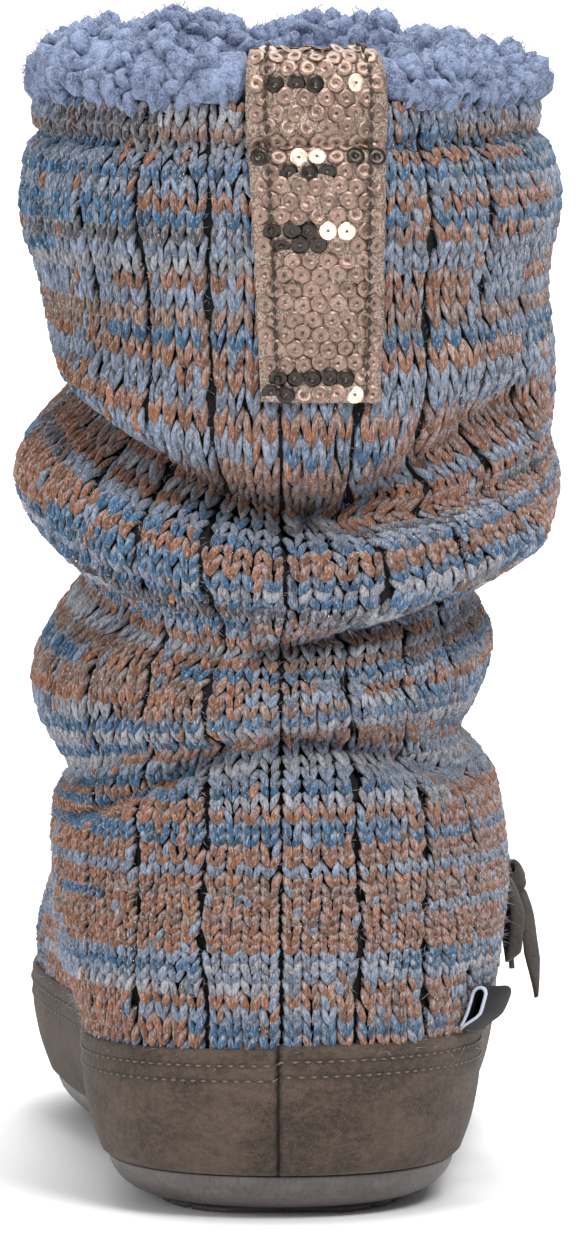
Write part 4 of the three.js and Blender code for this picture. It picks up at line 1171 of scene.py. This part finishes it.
turns = circle(BAND["columns"])
turns = turns - BAND["drawn_to_heel"] * np.sin(turns)
crest = band_crest(turns)
share = np.concatenate([np.linspace(*rows) for rows in BAND_ROWS])[:, None]
height = FEATHER_HEIGHT + (crest - FEATHER_HEIGHT) * share
from_seam = skin(turns, HEEL_SEAM["at"])[:, 0] - HEEL_SEAM["x"]
from_seam = from_seam + HEEL_SEAM["sway"] * np.sin(np.arange(len(share)) * 1.7)[:, None]
seam = bell(from_seam, HEEL_SEAM["half"]) * (np.cos(turns) > 0)
below_edge = crest - height
relief = BAND["crown"] * np.sin(math.pi * share) - HEEL_SEAM["depth"] * seam
relief = relief + HEEL_SEAM["swell"] * bell(from_seam, HEEL_SEAM["swell_half"])
for below, depth, half in FURROWS:
    relief = relief - depth * bell(below_edge - below, half)
for from_edge in (below_edge, height - FEATHER_HEIGHT):
    relief = relief - BAND["rounding"] * np.clip(1 - from_edge / BAND["round_over"], 0, 1) ** 2
walls = []
for lift in (BAND["clear"] + BAND["thick"] + relief, BAND["clear"] * 0.5 + 0 * relief):
    wall = lifted(turns[None], height, lift)
    wall[0] = lifted(turns, FEATHER_HEIGHT, lift[0], True)
    walls.append(wall)
ring = np.concatenate([walls[0], walls[1][::-1]])
faces = grid_faces(len(ring) + 1, BAND["columns"], wrap=True) % (len(ring) * BAND["columns"])
# Painted shade: the heel seam's groove and the needle holes are darkened through the crease attribute.
hole_rows = sum(bell(below_edge - below, HOLE_ROWS["half"]) for below in HOLE_ROWS["below"])
crease = np.clip(seam * 1.1 + hole_rows * 0.6, 0, 1)
crease = np.concatenate([crease, 0 * crease]).ravel()
points = ring.reshape(-1, 3)
mesh_piece("suede_band", points, [faces], band_suede, ["foxing"], attributes={"crease": crease})

# The second row's stitches stand between those of the first.
count = BAND_STITCH["count"]
middle = (np.arange(count) + np.array([[0], [0.5]])).ravel() * 2 * math.pi / count
theta = middle[:, None] + np.array([-1, 0, 1]) * BAND_STITCH["half"] * 2 * math.pi / count
level = band_crest(theta) - np.repeat(BAND_STITCH["below"], count)[:, None]
paths = lifted(theta, level, BAND_STITCH["rise"] + 0 * theta)
facing = unit(lifted(theta, level, 1.0) - skin(theta, level))
points, faces, _ = spindles(paths, facing, np.full(theta.shape, BAND_STITCH["thick"]), 5)
pale_thread = thread_finish("pale_thread", (0.070, 0.055, 0.045), (0.21, 0.175, 0.145))
mesh_piece("band_stitching", points, faces, pale_thread)


# Outsole: moulded rubber cup, satin and slightly dusty, with a rolled edge and two ribbed tread pads. It is
# one moulding, glued under the band, and every shell of it is closed.
def rubber_finish():
    """Dark brown rubber: fine upright ribbing, darker in its grooves as painted shade, faint mottle and
    scuffed dust.
    """
    finish = Finish("sole_rubber")
    ribs = finish.noise((0.9, 0.9, 9), 1, 0.4)
    grain = finish.noise((0.35, 0.35, 0.35), 2, 0.6)
    dust = finish.noise((9, 9, 4), 3, 0.6)
    colour = finish.mix(dust.above(0.4, 0.75) * 0.6, (0.094, 0.076, 0.074), (0.150, 0.126, 0.124))
    colour = finish.mix(grain.above(0.5, 0.8) * 0.4, colour, (0.19, 0.165, 0.162))
    # Painted shade: darker where the ribs' relief is low.
    colour = finish.mix(ribs.above(0.58, 0.36) * 0.4, colour, (0.055, 0.046, 0.045))
    return finish.dress(colour, 0.5, finish.bump(ribs * 0.7 + grain * 0.3, 0.3), Specular_IOR_Level=0.5)


CUP = named("z out lift", [
    (1.9, -9.6, 1), (2.2, -6.8, 1), (3.4, -3.6, 0.7), (5.6, -1, 0.35), (8.2, 0.6, 0), (10, 1, 0),
])
CUP_LEVELS = np.array([1.9, 2.0, 2.2, 2.7, 3.4, 4.4, 5.6, 6.9, 8.2, 9.2, 9.7, 10])[:, None]
CUP_COLUMNS = 240
DRAWN_TO_HEEL = 0.5
LIP = {"above": 9.9, "in": 0.25}
WAIST = {"from": 88, "middle": 108, "to": 128, "rise": 2.4}
PADS = {"inset": -10.5, "root": 2.6, "spans": [(9, 84), (132, 240)]}
TREAD = {"pitch": 8.5, "groove": 2.4, "depth": 1.3, "first_end": 18, "rows": 12}


def sole_edge(theta, out):
    """Plan of the sole: the foot of the upper moved out along its own plan normal."""
    across = across_skin(theta, FEATHER_HEIGHT)
    length = np.hypot(across[..., 0], across[..., 1])
    point = skin(theta, FEATHER_HEIGHT)
    return point[..., 0] + out * across[..., 1] / length, point[..., 1] - out * across[..., 0] / length


def tread_block(start, end, low, high):
    """Closed slab of the tread between two places along the foot and two heights, as wide as the pads."""
    fine = np.linspace(0, math.pi, 300)
    outer_x, outer_y = sole_edge(fine, PADS["inset"])
    inner_x, inner_y = sole_edge(-fine, PADS["inset"])
    y = np.linspace(max(start, outer_y[0] + 0.4), min(end, outer_y[-1] - 0.4), TREAD["rows"])
    left, right = np.interp(y, inner_y, inner_x), np.interp(y, outer_y, outer_x)
    base = spring_at(y, 0)
    ring = [(left, low), (right, low), (right, high), (left, high)]
    points = np.stack([np.stack([x, y, level + base], axis=-1) for x, level in ring], axis=1)
    ends = np.array([[0, 1, 2, 3], [3, 2, 1, 0]]) + [[0], [4 * (TREAD["rows"] - 1)]]
    return points.reshape(-1, 3), [grid_faces(TREAD["rows"], 4, wrap=True)[:, ::-1], ends]


turns = circle(CUP_COLUMNS)
turns = turns - DRAWN_TO_HEEL * np.sin(turns)
out = read(CUP, "z", "out", CUP_LEVELS) - LIP["in"] * (CUP_LEVELS > LIP["above"])
plan_x, plan_y = sole_edge(turns[None], out)
rise = WAIST["rise"] * smooth(WAIST["from"], WAIST["middle"], plan_y)
rise = rise * (1 - smooth(WAIST["middle"], WAIST["to"], plan_y))
plan_z = CUP_LEVELS + spring_at(plan_y, 0) + rise * read(CUP, "z", "lift", CUP_LEVELS)
cup = np.stack([plan_x, plan_y, plan_z], axis=-1).reshape(-1, 3)
walls = grid_faces(len(CUP_LEVELS), CUP_COLUMNS, wrap=True)
bottom = np.arange(CUP_COLUMNS)[None]
shells = [(cup, [walls, bottom[:, ::-1], bottom + len(cup) - CUP_COLUMNS])]
for start, end in PADS["spans"]:
    shells.append(tread_block(start, end, TREAD["depth"], PADS["root"]))
    grooves = np.arange(start + TREAD["pitch"], end - TREAD["pitch"] / 2, TREAD["pitch"])
    firsts = np.concatenate([[start], grooves + TREAD["groove"] / 2])
    lasts = np.concatenate([grooves - TREAD["groove"] / 2, [end]])
    bars = [(first, last) for first, last in zip(firsts, lasts) if last > TREAD["first_end"]]
    shells += [tread_block(first, last, 0, TREAD["depth"]) for first, last in bars]
starts = np.cumsum([0] + [len(points) for points, _ in shells])
points = np.concatenate([points for points, _ in shells])
faces = [face + begin for (_, group), begin in zip(shells, starts) for face in group]
mesh_piece("outsole_moulding", points, faces, rubber_finish(), ["outsole"])


# Side label: black woven tape folded in half and caught in the seam above the band, with a pale selvedge
# at its fold. It is left bare.
LABEL = {"from": 22, "to": 46, "low": 40.8, "high": 50.2, "thick": 0.7, "clear": 2.6, "bend": 1.6, "drop": 3}
LABEL_GRID = {"sections": 24, "points": 25, "flat": 0.36, "drawn_to_heel": 1.4}


def angle_at(along, z):
    """Angle of the outer side's point of a section that lies a given way along the foot."""
    back, front = read(SECTIONS, "z", "back", z), read(SECTIONS, "z", "front", z)
    return np.arccos(1 - 2 * (along - back) / (front - back))


def tape_finish(name, warp, weft):
    """Satin-woven tape: fine slanting ribs."""
    finish = Finish(name)
    rib = finish.noise((0.25, 3, 0.25), 1, 0.5)
    colour = finish.mix(rib, warp, weft)
    return finish.dress(colour, 0.75, finish.bump(rib, 0.15), Specular_IOR_Level=0.15)


def label_section(share, depth):
    """Lift and height of the tape's section: up the knit, over a fold at the top and down outside, back to
    the seam, and lower away from the heel. depth moves it out along its own normal."""
    u, flat = np.linspace(0, 1, LABEL_GRID["points"]), LABEL_GRID["flat"]
    leg = LABEL["high"] - LABEL["low"] - LABEL["bend"]
    turn = np.clip((u - flat) / (1 - 2 * flat), 0, 1) * math.pi
    up = np.minimum(u / flat, 1) - np.clip((u - 1 + flat) / flat, 0, 1)
    lift = LABEL["clear"] + LABEL["bend"] * (1 - np.cos(turn)) * smooth(-0.05, 0.5, up) + 0 * share[:, None]
    height = LABEL["low"] + leg * up + LABEL["bend"] * np.sin(turn) - LABEL["drop"] * share[:, None]
    tangent = unit(np.stack([np.gradient(lift, axis=1), np.gradient(height, axis=1)], axis=-1))
    return lift - depth * tangent[..., 1], height + depth * tangent[..., 0]


def tape_grid(depth):
    """Grid of points of the tape at a depth: its sections, from the heel end on."""
    share = np.linspace(0, 1, LABEL_GRID["sections"]) ** LABEL_GRID["drawn_to_heel"]
    lift, height = label_section(share, depth)
    along = LABEL["from"] + (LABEL["to"] - LABEL["from"]) * share[:, None] + 0 * lift
    level = np.clip(height, FEATHER_HEIGHT, None)
    return lifted(angle_at(along, level), level, lift, True)


points, faces = slab(tape_grid(LABEL["thick"] / 2), tape_grid(-LABEL["thick"] / 2))
per_side = LABEL_GRID["sections"] * LABEL_GRID["points"]
at_heel_end = np.concatenate([np.all(face % per_side < 2 * LABEL_GRID["points"], axis=1) for face in faces])
black_tape = tape_finish("black_tape", (0.006, 0.006, 0.007), (0.020, 0.020, 0.022))
pale_selvedge = tape_finish("pale_selvedge", (0.40, 0.45, 0.58), (0.62, 0.66, 0.76))
selvedge = (pale_selvedge, at_heel_end)
mesh_piece("label_tape", points, faces, black_tape, ["side_label"], extra=selvedge)


# Eyelets: two pressed rings of pale brass on the outer side of the ankle, each rolled over the knit.
# They are turned profiles: the ring's way out from its axis and up from the knit.
EYELET_RING = np.array([(1.9, 0.3), (3.5, 0.3), (3.9, 1.1), (3.3, 2.0), (2.3, 2.1), (1.8, 1.2)])
EYELET_SIDES = 32
EYELETS = {"eyelet_rear": (73, 70.5), "eyelet_front": (95, 70.5)}


def brass_finish():
    """Pale brass, brushed and lightly tarnished."""
    finish = Finish("pale_brass")
    wear = finish.noise((0.8, 0.8, 0.8), 2, 0.6)
    colour = finish.mix(wear, (0.62, 0.52, 0.33), (0.40, 0.32, 0.19))
    return finish.dress(colour, wear * 0.2 + 0.2, finish.bump(wear, 0.05), Metallic=1.0)


brass = brass_finish()
for name, (y, z) in EYELETS.items():
    theta = angle_at(y, z)
    seat = skin(theta, z)
    axis = unit(lifted(theta, z, 1.0) - seat)
    first = unit(np.cross(axis, (0, 0, 1.0)))
    second = np.cross(axis, first)
    turn = circle(EYELET_SIDES)
    spoke = np.cos(turn)[:, None] * first + np.sin(turn)[:, None] * second
    rings = seat + spoke[None] * EYELET_RING[:, :1, None] + axis * EYELET_RING[:, 1, None, None]
    faces = grid_faces(len(EYELET_RING) + 1, EYELET_SIDES, wrap=True) % (len(EYELET_RING) * EYELET_SIDES)
    mesh_piece(name + "_ring", rings.reshape(-1, 3), [faces], brass, [name])


# Bar: the stretch of the suede thong that passes over the knit between the two eyelets, under the knot.
# It goes down into both rings, and lies flat on the knit between them.
BAR = named("reach lift", [
    (0, 0.6), (0.13, 2.6), (0.32, 2.3), (0.5, 2.1), (0.68, 2.3), (0.87, 2.6), (1, 0.6),
])
BAR_THONG = {"rows": 40, "wide": 3.4, "thick": 1.2}
(rear, level), (front, _) = EYELETS.values()
y = rear + (front - rear) * BAR["reach"]
route = smoothly(lifted(angle_at(y, level), level, BAR["lift"]), BAR_THONG["rows"])
facing = np.tile(unit(OUTWARD + (0, 0, 0.1)), (BAR_THONG["rows"], 1))
points, faces = thong(route, facing, BAR_THONG["wide"], BAR_THONG["thick"], np.ones(BAR_THONG["rows"]))
mesh_piece("lace_bar_thong", points, faces, lace_suede, ["lace_bar"])


# Finish of the knit: slivers of metallised film spun into the yarn, and the loose wool halo round the
# shaft. Both stand on the stitches' own panel and are held by the yarn.
SLIVERS = {
    "count": 1500, "high": 0.38, "lean": 0.035, "off_skin": 0.75, "bow": 0.25, "thick": 0.14, "sides": 3,
}
HALO = {"count": 23000, "length": 2.1, "thick": 0.042, "spread": 1.0, "off_knot": 26}
glitter = np.random.default_rng(29)
count = SLIVERS["count"]
course = glitter.uniform(1, last_course - 1, count)
wale = glitter.uniform(-GROUPS + 0.1, GROUPS - 0.1, count)
t = np.array([0, 0.5, 1])
slant = glitter.choice([-1, 1], (count, 1)) * SLIVERS["lean"]
centre, facing = panel.at(course[:, None] + SLIVERS["high"] * t, wale[:, None] + slant * t)
paths = centre + facing * (SLIVERS["off_skin"] + SLIVERS["bow"] * np.array([0, 1, 0]))[None, :, None]
points, faces, _ = spindles(paths, facing, np.full((count, 3), SLIVERS["thick"]), SLIVERS["sides"])


def sliver_finish():
    """Metallised film thread, copper to pale gold."""
    finish = Finish("metallised_film")
    hue = finish.noise((14, 14, 9), 1, 0.5)
    colour = finish.mix(hue.above(0.4, 0.6), (0.85, 0.50, 0.28), (0.95, 0.85, 0.70))
    return finish.dress(colour, 0.22, None, Metallic=1.0)


mesh_piece("metallic_slivers", points, faces, sliver_finish())

course = glitter.uniform(0, last_course, HALO["count"])
wale = glitter.uniform(-GROUPS, GROUPS, HALO["count"])
roots, away = panel.at(course, wale)
free = np.linalg.norm(roots - KNOT, axis=1) > HALO["off_knot"]
roots, away = roots[free], away[free]


def halo_finish():
    """Loose wool fibres, pale and matt."""
    finish = Finish("wool_halo")
    tone = finish.noise((6, 6, 5), 2, 0.6)
    return finish.dress(finish.mix(tone, (0.34, 0.38, 0.48), (0.62, 0.54, 0.50)), 1.0)


sizes = [HALO[key] for key in ("length", "thick", "spread")]
points, faces, _ = hairs(roots + away * 0.5, away, *sizes, 31)
mesh_piece("wool_halo", points, faces, halo_finish())


# Stage: a plain pale floor that runs on far behind the shoe, soft studio lights on both sides, and one that
# lights the far floor, so that it makes the white ground of the photograph.
def stage_finish():
    """Matt white paper."""
    finish = Finish("studio_paper")
    tone = finish.noise((900, 900, 900), 1, 0.5)
    return finish.dress(finish.mix(tone, (0.90, 0.905, 0.915), (0.93, 0.93, 0.935)), 0.9)


FLOOR = {"side": 9000, "steps": 13}
reach = np.linspace(-FLOOR["side"], FLOOR["side"], FLOOR["steps"])
floor = np.stack([*np.meshgrid(reach, reach), np.zeros((FLOOR["steps"], FLOOR["steps"]))], axis=-1)
floor_mesh = bpy.data.meshes.new("studio_floor")
floor_faces = grid_faces(FLOOR["steps"], FLOOR["steps"])
floor_mesh.from_pydata(metres(floor.reshape(-1, 3)).tolist(), [], floor_faces.tolist())
floor_mesh.materials.append(stage_finish())
studio_floor = bpy.data.objects.new("studio_floor", floor_mesh)
bpy.context.scene.collection.objects.link(studio_floor)

LIGHTS = {
    "key": {"at": (1.0, -1.8, 2.5), "towards": (0, 0, 0.13), "size": 1.1, "power": 66},
    "fill": {"at": (-1.9, -1.9, 1.0), "towards": (0, 0, 0.13), "size": 1.3, "power": 25},
    "top": {"at": (0.1, -0.1, 2.4), "towards": (0, 0, 0.13), "size": 1.2, "power": 36},
    "back": {"at": (0, 1.3, 2.6), "towards": (0, 0, 0.13), "size": 2.2, "power": 26},
    "far_floor": {"at": (0, 3.6, 2.4), "towards": (0, 3.8, 0), "size": 4, "power": 150},
}
WORLD = {"colour": (0.95, 0.97, 1.0, 1), "strength": 0.33}
for name, light in LIGHTS.items():
    lamp = bpy.data.lights.new(name, "AREA")
    lamp.size = light["size"]
    lamp.energy = light["power"]
    holder = bpy.data.objects.new(name, lamp)
    holder.location = light["at"]
    aim = np.array(light["towards"]) - np.array(light["at"])
    heading = math.atan2(aim[1], aim[0])
    slope = math.atan2(aim[2], math.hypot(aim[0], aim[1]))
    holder.rotation_euler = (math.pi / 2 + slope, 0, heading - math.pi / 2)
    bpy.context.scene.collection.objects.link(holder)
world = bpy.data.worlds.new("studio")
world.use_nodes = True
world.node_tree.nodes["Background"].inputs[0].default_value = WORLD["colour"]
world.node_tree.nodes["Background"].inputs[1].default_value = WORLD["strength"]
bpy.context.scene.world = world
bpy.context.scene.view_settings.view_transform = "Standard"
